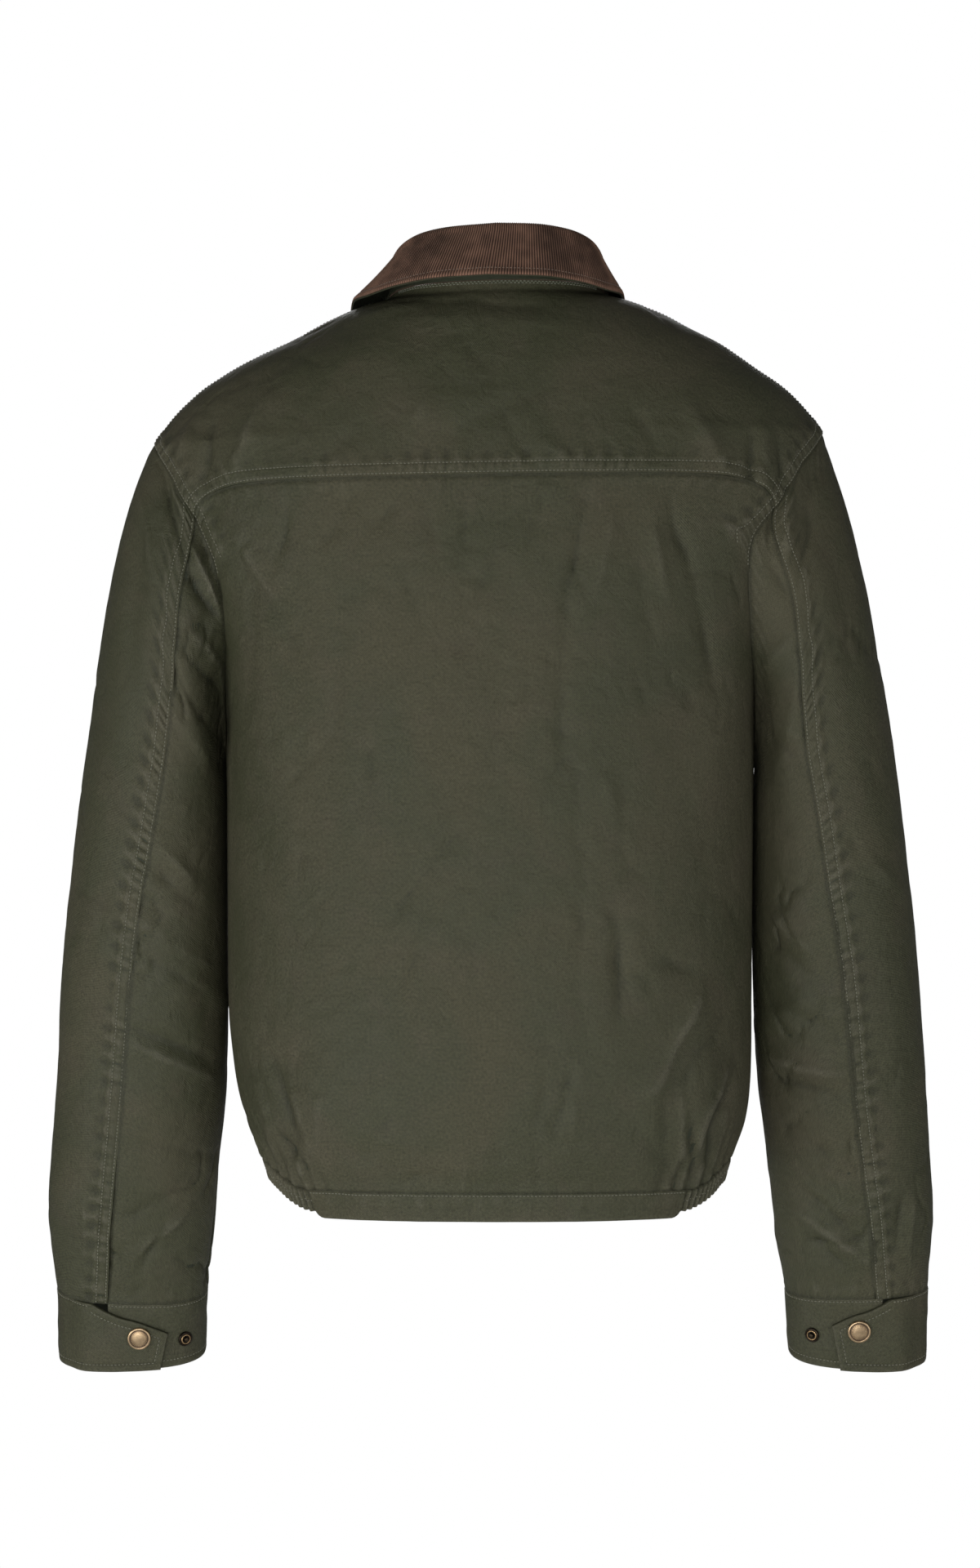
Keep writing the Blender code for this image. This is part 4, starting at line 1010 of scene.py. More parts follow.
def crumple(points, seed):
    """Small uneven waves of waxed cloth: broad ones, streaks that run down the panel, fine ones, and short
    sharp creases where a slanting noise passes through nought."""
    broad = 0.75 * noise(points * (1, 1, 0.6), 74.0, seed) + 0.30 * noise(points, 33.0, seed + 1)
    come_and_go = 0.5 + 0.5 * noise(points, 60.0, seed + 4)
    streaks = 0.26 * noise(points * (1, 1, 0.30), 15.0, seed + 2) * come_and_go
    leaning = points @ np.array(((0.88, 0.1, 0.36), (-0.1, 1.0, 0.1), (-0.45, 0.1, 0.62)))
    line = noise(leaning, 21.0, seed + 5) + 0.35 * noise(leaning, 9.0, seed + 7)
    some = ease(0.15 + 1.5 * noise(points, 38.0, seed + 6))
    creases = -CREASE * some * np.exp(-np.abs(line) / 0.13)
    return broad + streaks + creases + 0.11 * noise(points, 8.0, seed + 3)


# ---- making meshes ----

def every_other(count):
    """Indices of every other grid line, both borders included."""
    lines = list(range(0, count, 2))
    if lines[-1] != count - 1:
        lines.append(count - 1)
    return np.array(lines)


def squares(place, turned=False):
    """Faces between the lines of a grid of point numbers, turned over for an inner skin."""
    corners = [place[:-1, :-1], place[:-1, 1:], place[1:, 1:], place[1:, :-1]]
    if turned:
        corners = [corners[index] for index in (0, 3, 2, 1)]
    return np.stack(corners, -1).reshape(-1, 4).tolist()


def edge_ring(rows, columns):
    """Border places of a grid in order round it, as pairs of row and column."""
    bottom = [(rows[0], column) for column in columns[:-1]]
    right = [(row, columns[-1]) for row in rows[:-1]]
    top = [(rows[-1], column) for column in columns[:0:-1]]
    left = [(row, columns[0]) for row in rows[:0:-1]]
    return bottom + right + top + left


def new_mesh(name, points, faces, uv=None, values=None):
    """A mesh from points in millimetres, with a UV map in metres and named values for each point."""
    mesh = bpy.data.meshes.new(name)
    mesh.from_pydata((np.asarray(points) * MM).tolist(), [], faces)
    if uv is not None:
        layer = mesh.uv_layers.new(name="cloth")
        corner = np.zeros(len(mesh.loops), int)
        mesh.loops.foreach_get("vertex_index", corner)
        layer.data.foreach_set("uv", (np.asarray(uv) * MM)[corner].astype(np.float32).ravel())
    for key, value in (values or {}).items():
        made = mesh.attributes.new(key, "FLOAT", "POINT")
        made.data.foreach_set("value", np.asarray(value, np.float32).ravel())
    mesh.validate()
    return mesh


def signed_volume(mesh):
    """Six times the volume that a closed mesh encloses, positive if its faces look outward."""
    mesh.calc_loop_triangles()
    corners = np.zeros(len(mesh.loop_triangles) * 3, int)
    mesh.loop_triangles.foreach_get("vertices", corners)
    places = np.zeros(len(mesh.vertices) * 3)
    mesh.vertices.foreach_get("co", places)
    one, two, three = places.reshape(-1, 3)[corners.reshape(-1, 3)].swapaxes(0, 1)
    return float((one * np.cross(two, three)).sum())


def add_object(name, mesh, material, sharp=55.0):
    """The mesh as an object at the origin, smooth but for its sharp edges, with faces that look outward."""
    if signed_volume(mesh) < 0:
        mesh.flip_normals()
    mesh.shade_smooth()
    mesh.set_sharp_from_angle(angle=math.radians(sharp))
    mesh.materials.append(material)
    made = bpy.data.objects.new(name, mesh)
    bpy.context.scene.collection.objects.link(made)
    return made


def closed(name, outer, inner, kept, flat, wear_and_painted_light, faces, material, lined):
    """A shell of an outer skin and of the inner skin's kept grid lines, with the cloth's flat places."""
    points = np.concatenate([outer.reshape(-1, 3), inner[kept].reshape(-1, 3)])
    uv = np.concatenate([flat.reshape(-1, 2), flat[kept].reshape(-1, 2)])
    within = len(points) - wear_and_painted_light.size
    values = {"wear_and_painted_light": np.concatenate([wear_and_painted_light.ravel(), np.zeros(within)])}
    if lined:
        values["inside"] = np.concatenate([np.zeros(wear_and_painted_light.size), np.ones(within)])
    return add_object(name, new_mesh(name, points, faces, uv, values), material)


def shell(name, outer, inner, wear_and_painted_light, material):
    """A closed cloth shell: the outer skin on every grid line, the inner one on every other, and a rim."""
    rows, columns = outer.shape[:2]
    across = reached(outer)
    across = across - across[:, columns // 2, None]
    upward = reached(outer.swapaxes(0, 1)).T
    flat = joined(across, upward)
    place = np.arange(rows * columns).reshape(rows, columns)
    kept_rows, kept_columns = every_other(rows), every_other(columns)
    within = rows * columns + np.arange(len(kept_rows) * len(kept_columns)).reshape(len(kept_rows), -1)
    faces = squares(place) + squares(within, True)
    ring = edge_ring(np.arange(rows), np.arange(columns))
    kept_ring = edge_ring(kept_rows, kept_columns)
    inner_ring = edge_ring(np.arange(len(kept_rows)), np.arange(len(kept_columns)))
    number = {spot: index for index, spot in enumerate(ring)}
    starts = [number[spot] for spot in kept_ring]
    for index, start in enumerate(starts):
        after = (index + 1) % len(starts)
        end = starts[after] if after else len(ring)
        outer_line = [int(place[ring[spot % len(ring)]]) for spot in range(start, end + 1)]
        faces.append([int(within[inner_ring[index]]), int(within[inner_ring[after]])] + outer_line[::-1])
    return closed(name, outer, inner, np.ix_(kept_rows, kept_columns), flat, wear_and_painted_light, faces, material, True)


def stand_in(made, node):
    """Hides the solid that a piece stands for. It rides on the jacket."""
    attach(made, JACKET)
    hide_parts(node)


def declare(made, node, points):
    """Hides the solid that a cloth piece stands for."""
    stand_in(made, node)
    length = float(reached(points.swapaxes(0, 1))[:, -1].max()) * MM


STITCHES = {kind: [] for kind in THREADS}


def placed_at(at, places, values):
    """Points along a line of points, at wanted places on it."""
    return np.stack([np.interp(at, places, values[:, axis]) for axis in range(3)], -1)


def stitch_rows(points, out, away, border, distances, kind="thread", keep=None, lift=STITCH_LIFT):
    """Adds rows of stitches at distances from a border, read from the finished skin."""
    view, direction, depth = (seen_from(part, border) for part in (points, out, away))
    lines = range(view.shape[1])
    for distance in distances:
        spots, normals = (
            np.array([placed_at(distance, depth[:, line], part[:, line]) for line in lines])
            for part in (view, direction)
        )
        if keep is not None:
            spots, normals = spots[keep], normals[keep]
        add_stitches(spots, unit(normals), kind, lift)


def add_stitches(spots, normals, kind="thread", lift=STITCH_LIFT):
    """Cuts a line of points into stitches of one length, each with a small gap after it."""
    length = reached(spots)
    count = int(length[-1] / STITCH)
    if count < 1:
        return
    starts = np.arange(count) * length[-1] / count
    span = length[-1] / count
    first, middle, last = (placed_at(starts + span * share, length, spots) for share in (0.08, 0.43, 0.78))
    normal = unit(placed_at(starts + span / 2, length, normals))
    STITCHES[kind].append((first, middle + normal * (lift + THREAD * 0.4), last, normal))


def thread_piece(name, kind, material):
    """All stitches of one thread as one mesh: each is a bead drawn out between its two needle holes."""
    start, middle, end, normal = (np.concatenate(part) for part in zip(*STITCHES[kind]))
    along = unit(end - start)
    side = unit(np.cross(normal, along))
    turns = np.linspace(0, 2 * math.pi, THREAD_SIDES, endpoint=False)
    circle = np.cos(turns)[None, :, None] * side[:, None] + np.sin(turns)[None, :, None] * normal[:, None]
    bead = ((start * 0.8 + middle * 0.2, 0.72), (middle, 1.0), (end * 0.8 + middle * 0.2, 0.72))
    rings = [centre[:, None] + THREAD * thick * circle for centre, thick in bead]
    lower = normal * THREAD * 0.7
    points = np.concatenate([(start - lower)[:, None], *rings, (end - lower)[:, None]], axis=1)
    per = points.shape[1]
    one = []
    for index in range(THREAD_SIDES):
        after = (index + 1) % THREAD_SIDES
        one.append((0, 1 + after, 1 + index, 1 + index))
        for low in (1, 1 + THREAD_SIDES):
            high = low + THREAD_SIDES
            one.append((low + index, low + after, high + after, high + index))
        last = 1 + 2 * THREAD_SIDES
        one.append((last + index, last + after, per - 1, per - 1))
    base = (np.arange(len(points)) * per)[:, None, None]
    faces = [
        face[:3] if face[2] == face[3] else face for face in (base + np.array(one)).reshape(-1, 4).tolist()
    ]
    mesh = new_mesh(name, points.reshape(-1, 3), faces)
    made = add_object(name, mesh, material, 80.0)
    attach(made, JACKET)
    return made


# ---- shader groups ----

def node_group(name, inputs, outputs):
    """An empty shader node group with named inputs and outputs."""
    group = bpy.data.node_groups.new(name, "ShaderNodeTree")
    for socket_name, kind, value in inputs:
        socket = group.interface.new_socket(name=socket_name, in_out="INPUT", socket_type="NodeSocket" + kind)
        if value is not None:
            socket.default_value = value
    for socket_name, kind in outputs:
        group.interface.new_socket(name=socket_name, in_out="OUTPUT", socket_type="NodeSocket" + kind)
    return group, group.nodes.new("NodeGroupInput"), group.nodes.new("NodeGroupOutput")


def set_inputs(node, **values):
    """Plain values on a node's inputs; an underscore in a name stands for a space."""
    for name, value in values.items():
        node.inputs[name.replace("_", " ")].default_value = value


def math_node(tree, operation, first, second=None, third=None, clamp=False):
    """A math node whose inputs are sockets or numbers."""
    made = tree.nodes.new("ShaderNodeMath")
    made.operation = operation
    made.use_clamp = clamp
    for index, value in enumerate((first, second, third)):
        if value is None:
            continue
        if isinstance(value, (int, float)):
            made.inputs[index].default_value = value
        else:
            tree.links.new(value, made.inputs[index])
    return made.outputs[0]


def noise_node(tree, vector, scale, detail, roughness=0.55, distortion=0.0):
    """A noise texture read at a vector."""
    made = tree.nodes.new("ShaderNodeTexNoise")
    set_inputs(made, Scale=scale, Detail=detail, Roughness=roughness, Distortion=distortion)
    tree.links.new(vector, made.inputs["Vector"])
    return made.outputs["Fac"]


def ramp(tree, value, low, high, to_low=0.0, to_high=1.0):
    """Maps a value from one range to another, eased at both ends."""
    made = tree.nodes.new("ShaderNodeMapRange")
    made.interpolation_type = "SMOOTHSTEP"
    tree.links.new(value, made.inputs["Value"])
    set_inputs(made, From_Min=low, From_Max=high, To_Min=to_low, To_Max=to_high)
    return made.outputs["Result"]


def mixed(tree, factor, first, second):
    """A colour mix whose inputs are sockets or colours."""
    made = tree.nodes.new("ShaderNodeMix")
    made.data_type = "RGBA"
    for index, value in ((0, factor), (6, first), (7, second)):
        if isinstance(value, bpy.types.NodeSocket):
            tree.links.new(value, made.inputs[index])
        else:
            made.inputs[index].default_value = value if index == 0 else (*value, 1)
    return made.outputs[2]


def twill_group():
    """Height of a diagonal weave from a UV map in metres: waves along the diagonal, cut by the weft."""
    group, inside, outside = node_group(
        "twill_weave",
        (("Flat", "Vector", None), ("Pitch", "Float", 0.0009), ("Slub", "Float", 0.35)),
        (("Height", "Float"),),
    )
    split = group.nodes.new("ShaderNodeSeparateXYZ")
    group.links.new(inside.outputs["Flat"], split.inputs[0])
    uneven = noise_node(group, inside.outputs["Flat"], 400.0, 2.0)
    turn = math_node(group, "DIVIDE", 2 * math.pi, inside.outputs["Pitch"])
    diagonal = math_node(group, "MULTIPLY_ADD", split.outputs[1], 0.8, split.outputs[0])
    phase = math_node(group, "MULTIPLY_ADD", uneven, 1.2, math_node(group, "MULTIPLY", diagonal, turn))
    ridges = math_node(group, "SINE", phase)
    weft = math_node(group, "SINE", math_node(group, "MULTIPLY", split.outputs[0], turn))
    height = math_node(group, "MULTIPLY_ADD", weft, 0.35, ridges)
    rough = math_node(group, "MULTIPLY", uneven, inside.outputs["Slub"])
    group.links.new(math_node(group, "ADD", height, rough), outside.inputs["Height"])
    return group


def patina_group():
    """Uneven tone of used cloth or metal: broad clouds, smaller stains and fine specks, as values near 1."""
    group, inside, outside = node_group(
        "patina",
        (("Place", "Vector", None), ("Size", "Float", 0.12), ("Strength", "Float", 0.3)),
        (("Tone", "Float"), ("Clouds", "Float"), ("Specks", "Float")),
    )
    scaled = group.nodes.new("ShaderNodeVectorMath")
    scaled.operation = "SCALE"
    group.links.new(inside.outputs["Place"], scaled.inputs[0])
    group.links.new(math_node(group, "DIVIDE", 1.0, inside.outputs["Size"]), scaled.inputs["Scale"])
    clouds = noise_node(group, scaled.outputs[0], 1.0, 4.0, 0.6, 0.4)
    stains = noise_node(group, scaled.outputs[0], 5.0, 5.0, 0.62)
    specks = noise_node(group, scaled.outputs[0], 120.0, 2.0, 0.7)
    both = math_node(group, "MULTIPLY_ADD", stains, 0.5, math_node(group, "SUBTRACT", clouds, 0.75))
    grain = math_node(group, "MULTIPLY_ADD", specks, 0.45, math_node(group, "SUBTRACT", both, 0.225))
    tone = math_node(group, "MULTIPLY_ADD", grain, inside.outputs["Strength"], 1.0)
    group.links.new(tone, outside.inputs["Tone"])
    group.links.new(clouds, outside.inputs["Clouds"])
    group.links.new(specks, outside.inputs["Specks"])
    return group


def use_group(tree, group, **links):
    """A group in a material, with sockets or numbers on its named inputs."""
    made = tree.nodes.new("ShaderNodeGroup")
    made.node_tree = group
    for key, value in links.items():
        if isinstance(value, (int, float)):
            made.inputs[key].default_value = value
        else:
            tree.links.new(value, made.inputs[key])
    return made


def attribute(tree, name):
    """A value that the mesh carries at its points."""
    made = tree.nodes.new("ShaderNodeAttribute")
    made.attribute_name = name
    return made.outputs["Fac"]


def bump(tree, height, distance, strength, normal=None):
    """A normal bent by a height, on top of another normal if one is given."""
    made = tree.nodes.new("ShaderNodeBump")
    set_inputs(made, Distance=distance, Strength=strength)
    tree.links.new(height, made.inputs["Height"])
    if normal is not None:
        tree.links.new(normal, made.inputs["Normal"])
    return made.outputs["Normal"]


def new_material(name):
    """A material with its tree, its Principled shader and object and UV coordinates."""
    made = bpy.data.materials.new(name)
    made.use_nodes = True
    tree = made.node_tree
    places = tree.nodes.new("ShaderNodeTexCoord")
    return made, tree, tree.nodes["Principled BSDF"], places.outputs["Object"], places.outputs["UV"]


def scaled(tree, colour, factor):
    """A colour times a value; the colour is a socket or three numbers."""
    made = tree.nodes.new("ShaderNodeVectorMath")
    made.operation = "SCALE"
    if isinstance(colour, bpy.types.NodeSocket):
        tree.links.new(colour, made.inputs[0])
    else:
        made.inputs[0].default_value = colour
    tree.links.new(factor, made.inputs["Scale"])
    return made.outputs[0]


def waxed_material(twill, patina):
    """Waxed cotton: olive with browner clouds, fine mottling, paler on raised relief (a painted highlight
    that also stands for rubbed wax) and darker in sunk places and under laps (painted shade).
    """
    made, tree, shader, place, flat = new_material("waxed_cloth")
    tone = use_group(tree, patina, Place=place, Size=0.11, Strength=0.30)
    hue = use_group(tree, patina, Place=place, Size=0.035, Strength=0.3)
    wear_and_painted_light = attribute(tree, "wear_and_painted_light")
    weave = use_group(tree, twill, Flat=flat, Pitch=0.0013, Slub=0.5)
    colour = mixed(tree, ramp(tree, tone.outputs["Clouds"], 0.38, 0.64), WAXED_GREEN, WAXED_BROWN)
    colour = mixed(tree, ramp(tree, hue.outputs["Clouds"], 0.48, 0.72, 0.0, 0.25), colour, WAX_STAIN)
    # painted highlight on raised relief, standing also for rubbed wax
    rubbed = mixed(tree, ramp(tree, wear_and_painted_light, 0.10, 1.0, 0.0, 0.34), colour, RUBBED_AND_HIGHLIT_WAX)
    # painted shade in sunk relief and along lapped borders
    sunk = mixed(tree, ramp(tree, wear_and_painted_light, -1.0, -0.08, 0.42, 0.0), rubbed, SUNK_WAX_PAINTED_SHADE)
    fleck = noise_node(tree, flat, 520.0, 4.0, 0.8)
    mottle = math_node(tree, "MULTIPLY_ADD", fleck, 2.3, -0.15)
    threads = math_node(tree, "MULTIPLY_ADD", weave.outputs["Height"], 0.10, mottle)
    shade = scaled(tree, scaled(tree, sunk, tone.outputs["Tone"]), threads)
    inside = attribute(tree, "inside")
    tree.links.new(mixed(tree, inside, shade, PLAIN_INSIDE), shader.inputs["Base Color"])
    wax = ramp(tree, tone.outputs["Clouds"], 0.34, 0.68, 0.50, 0.66)
    rough = math_node(tree, "MULTIPLY_ADD", hue.outputs["Specks"], 0.14, wax, clamp=True)
    tree.links.new(rough, shader.inputs["Roughness"])
    shader.inputs["Specular IOR Level"].default_value = 0.26
    creases = noise_node(tree, place, 85.0, 6.0, 0.62, 0.5)
    normal = bump(tree, creases, 0.0028, 0.65)
    normal = bump(tree, weave.outputs["Height"], 0.00010, 0.5, normal)
    tree.links.new(normal, shader.inputs["Normal"])
    return made


def corduroy_material(patina):
    """Cut pile: brown, paler on the wales' tops and at the worn edge, with painted shade darkening each
    wale's foot, and a strong soft sheen.
    """
    made, tree, shader, place, flat = new_material("corduroy")
    tone = use_group(tree, patina, Place=place, Size=0.03, Strength=0.8)
    wear_and_painted_light = attribute(tree, "wear_and_painted_light")
    # painted shade: the pile darkens towards each wale's foot
    colour = mixed(tree, ramp(tree, wear_and_painted_light, 0.0, 1.0), PILE_FOOT, PILE_TOP)
    pile = noise_node(tree, flat, 2600.0, 3.0, 0.7)
    colour = mixed(tree, ramp(tree, pile, 0.40, 0.80, 0.0, 0.3), colour, PILE_FLECK)
    tree.links.new(scaled(tree, colour, tone.outputs["Tone"]), shader.inputs["Base Color"])
    tree.links.new(ramp(tree, pile, 0.2, 0.8, 0.8, 0.98), shader.inputs["Roughness"])
    shader.inputs["Specular IOR Level"].default_value = 0.2
    shader.inputs["Sheen Weight"].default_value = 0.25
    shader.inputs["Sheen Roughness"].default_value = 0.45
    shader.inputs["Sheen Tint"].default_value = PILE_SHEEN
    tree.links.new(bump(tree, pile, 0.0003, 0.8), shader.inputs["Normal"])
    return made


def thread_material(name, colour, patina):
    """Thread: matt, twisted, a little uneven in tone from stitch to stitch."""
    made, tree, shader, place, _ = new_material(name)
    tone = use_group(tree, patina, Place=place, Size=0.012, Strength=0.9)
    tree.links.new(scaled(tree, colour, tone.outputs["Tone"]), shader.inputs["Base Color"])
    strands = noise_node(tree, place, 3000.0, 2.0)
    tree.links.new(ramp(tree, strands, 0.2, 0.8, 0.55, 0.8), shader.inputs["Roughness"])
    shader.inputs["Sheen Weight"].default_value = 0.2
    tree.links.new(bump(tree, strands, 0.0002, 0.6), shader.inputs["Normal"])
    return made


def tape_material(patina):
    """Woven zip tape: fine ribs along it."""
    made, tree, shader, place, flat = new_material("zip_tape")
    tone = use_group(tree, patina, Place=place, Size=0.03, Strength=0.5)
    split = tree.nodes.new("ShaderNodeSeparateXYZ")
    tree.links.new(flat, split.inputs[0])
    ribs = math_node(tree, "SINE", math_node(tree, "MULTIPLY", split.outputs[0], 2 * math.pi / 0.0008))
    picks = math_node(tree, "SINE", math_node(tree, "MULTIPLY", split.outputs[1], 2 * math.pi / 0.0006))
    weave = math_node(tree, "MULTIPLY", ribs, picks)
    tree.links.new(scaled(tree, TAPE_OLIVE, tone.outputs["Tone"]), shader.inputs["Base Color"])
    tree.links.new(ramp(tree, tone.outputs["Specks"], 0.3, 0.7, 0.75, 0.9), shader.inputs["Roughness"])
    tree.links.new(bump(tree, weave, 0.0001, 0.7), shader.inputs["Normal"])
    return made


def metal_material(name, rubbed, dull, patina):
    """Antique brass: brown in the hollows, rubbed bright on the raised parts, with fine scratches."""
    made, tree, shader, place, _ = new_material(name)
    tone = use_group(tree, patina, Place=place, Size=0.006, Strength=0.5)
    worn = ramp(tree, attribute(tree, "wear_and_painted_light"), 0.0, 1.0)
    tarnish = ramp(tree, tone.outputs["Clouds"], 0.4, 0.65)
    base = mixed(tree, worn, dull, rubbed)
    base = mixed(tree, math_node(tree, "MULTIPLY", tarnish, 0.35), base, dull)
    tree.links.new(base, shader.inputs["Base Color"])
    shader.inputs["Metallic"].default_value = 1.0
    scratches = noise_node(tree, place, 1500.0, 4.0, 0.7, 2.0)
    tree.links.new(ramp(tree, scratches, 0.3, 0.75, 0.28, 0.5), shader.inputs["Roughness"])
    tree.links.new(bump(tree, scratches, 0.00008, 0.5), shader.inputs["Normal"])
    return made


# ---- cloth pieces ----

def finish_panel(node, points, out, folds, seams, thickness, material,
                 under=None):
    """Moves a grid out by its folds and seams, notes where it is rubbed or sunk, and makes the shell.

    under is the distance from a border that another piece laps: the cloth is darkest there, by painted shade.
    much longer the cloth is than the place that it is gathered into.
    """
    rise = folds + seams
    outer = points + out * rise[..., None]
    inner = outer - out * thickness
    # painted light from the relief: raised places painted paler as a highlight, sunk places painted darker as
    # shade
    relief = seams + FOLD_PAINTED_LIGHT * folds
    smooth = relief.copy()
    for _ in range(12):
        smooth[1:-1, 1:-1] = (
            smooth[:-2, 1:-1] + smooth[2:, 1:-1] + smooth[1:-1, :-2] + smooth[1:-1, 2:]
        ) / 4
    wear_and_painted_light = (relief - smooth) / PAINTED_LIGHT_RANGE
    # painted shadow along the borders that another piece laps
    if under is not None:
        wear_and_painted_light = wear_and_painted_light - LAPPED_PAINTED_SHADOW * bell(under / LAPPED_REACH)
    made = shell(node + "_cloth", outer, inner, np.clip(wear_and_painted_light, -1, 1), material)
    declare(made, node, points)
    return outer


def tucked(points, out, border):
    """A grid with two more lines past a border, which slip under the cloth that laps it."""
    view, direction = seen_from(points, border), seen_from(out, border)
    inward = unit(view[0] - view[min(4, len(view) - 1)])
    first = view[0] + inward * TUCK * 0.25 - direction[0] * TUCK_DROP
    last = view[0] + inward * TUCK - direction[0] * (TUCK_DROP + 0.15)
    view = np.concatenate([last[None], first[None], view])
    direction = np.concatenate([direction[:1], direction[:1], direction])
    return put_back(view, border), put_back(direction, border)


def carried_on(values, border):
    """Values of a grid with those at a border repeated on the two lines that tucked adds there."""
    view = seen_from(values, border)
    return put_back(np.concatenate([view[:1], view[:1], view]), border)


def above(levels, start):
    """1 for a panel's rows above a level and 0 below it, as a column."""
    return ease((levels - start + 0.03) / 0.06)[:, None]


def at_armhole(away, along, pucker, seed, mask=1):
    """Rise of the cloth at a side border: lap and puckers of the armhole's seam where mask is 1, and the
    plain side seam elsewhere."""
    lapped = seam_rise(away, along, 0.9, LAP, ARMHOLE_ROWS, pucker, seed)
    return lapped * mask - BUTTED_DIP * bell(away / BUTTED_HALF) * (1 - mask)


def at_hem(low, along, seed):
    """Rise of the cloth above the hem band: puckers, and a dip at the seam itself."""
    return seam_rise(low, along, 0.0, 2.0, (), 0.3, seed) - HEM_DIP * bell(low / HEM_DIP_HALF)


def touching(folds, near, height, top, foot):
    """Folds calmed down where sleeve and body hang against each other, between two heights, and the cloth
    let out there to meet."""
    near = near * ease((top - height) / 30) * ease((height - foot) / 40)
    return folds * (1 - CALM * near) + CONTACT * near


def make_back_body(material):
    """The back below the yoke, its top edge tucked under the yoke."""
    levels = body_levels(0, 2, True, BY_SEAM, BY_SEAM, STEP)
    points, out = mirrored_halves(levels, BY_MIDDLE, BY_SEAM, STEP)
    top, along_top = border_places(points, "top")
    low, along_low = border_places(points, "bottom")
    fade = ease(np.minimum(top, low) / 12)
    folds = creased(points, "body_back") + crumple(points, 11) * BACK_CRUMPLE * fade
    rise = seam_rise(top, along_top, -0.3, 0.6, (), 0.5, 21) - 0.25 * bell((top - 2) / 1.5)
    rise = rise + at_hem(low, along_low, 22)
    keep = np.flatnonzero(levels > ROWS_HIDDEN)
    mask = above(levels, ROWS_HIDDEN)
    # lapped: distance to the borders that get a line of painted shadow, under the yoke, along the hem seam
    # and along the side seams below the armhole
    sides, lapped = [], np.minimum(top, low + 0.8)
    for border, seed in (("left", 23), ("right", 24)):
        away, along = border_places(points, border)
        rise = rise + at_armhole(away, along, 1.0, seed, mask)
        lapped = np.minimum(lapped, away + 9 * mask)
        sides.append((border, away))
    folds = at_the_side(points, folds + side_gathers(points, low))
    outer = points + out * (folds + rise)[..., None]
    for border, away in sides:
        stitch_rows(outer, out, away, border, ARMHOLE_ROWS, keep=keep)
    grid, direction = tucked(points, out, "top")
    folds, rise, lapped = (carried_on(part, "top") for part in (folds, rise, lapped))
    finish_panel("back_body", grid, direction, folds, rise, SHELL, material,
                 under=lapped)


def at_the_side(points, folds):
    """Folds calmed down where the sleeve hangs against the body, and the cloth let out there to meet it."""
    x, y, z = np.abs(points[..., 0]), points[..., 1], points[..., 2]
    return touching(folds, ease((x - BODY_TOUCH) / 14) * ease((60 - np.abs(y)) / 25), z, -300, -590)


def side_gathers(points, low):
    """Short upright puckers where the elastic draws the cloth in, on the sides of the body."""
    angle = np.degrees(np.arctan2(np.abs(points[..., 0]), -points[..., 1]))
    there = ease((angle - 44) / 10) * ease((136 - angle) / 10)
    turn = joined(angle * 3.2 + np.sign(points[..., 0]) * 500, 0 * low, low * 0.25)
    wave = np.sin(2 * math.pi * angle / 4.7 + 2.0 * noise(turn, 20.0, 71))
    reach = 26 + 14 * noise(joined(angle * 6 + np.sign(points[..., 0]) * 300, 0 * low, 0 * low), 16.0, 72)
    return there * wave * 1.5 * np.exp(-((low / reach) ** 2)) * ease((low + 3) / 6)


def make_back_yoke(material):
    """The yoke, lapped over back, fronts and sleeves, with the neck's two rows of stitches."""
    levels = body_levels(2, 3, True, BY_SEAM, BY_SEAM, STEP)
    points, out = mirrored_halves(levels, BY_MIDDLE, BY_SEAM, STEP)
    low, along_low = border_places(points, "bottom")
    top, _ = border_places(points, "top")
    fade = ease(np.minimum(top, low) / 14)
    folds = creased(points, "yoke") + crumple(points, 12) * YOKE_CRUMPLE * fade
    rise = seam_rise(low, along_low, 0.5, LAP, YOKE_ROWS, 0.9, 31)
    sides = []
    for border, seed in (("left", 33), ("right", 34)):
        away, along = border_places(points, border)
        rise = rise + at_armhole(away, along, 1.0, seed)
        sides.append((border, away))
    outer = finish_panel("back_yoke", points, out, folds, rise, SHELL, material)
    for border, away in sides:
        stitch_rows(outer, out, away, border, ARMHOLE_ROWS)
    stitch_rows(outer, out, low, "bottom", YOKE_ROWS)
    columns = points.shape[1]
    shoulder = np.abs(points[-1, :, 0] - points[-1, columns // 2, 0])
    for side in SIDES:
        keep = np.flatnonzero((shoulder > NECK_HALF + 2) & (np.sign(points[-1, :, 0]) == side))
        stitch_rows(outer, out, top, "top", YOKE_ROWS, keep=keep)
    degrees = np.linspace(-62, 62, 121)
    neck_x, neck_z = neck_place(np.abs(degrees))
    for drop in NECK_ROWS:
        angle = np.sign(degrees) * angle_at(neck_x, neck_z - drop, True)
        angle = np.where(degrees == 0, math.pi, angle)
        direction = body_normal(angle, neck_z - drop)
        add_stitches(body(angle, neck_z - drop) + direction * 0.3, direction, "pale_thread")


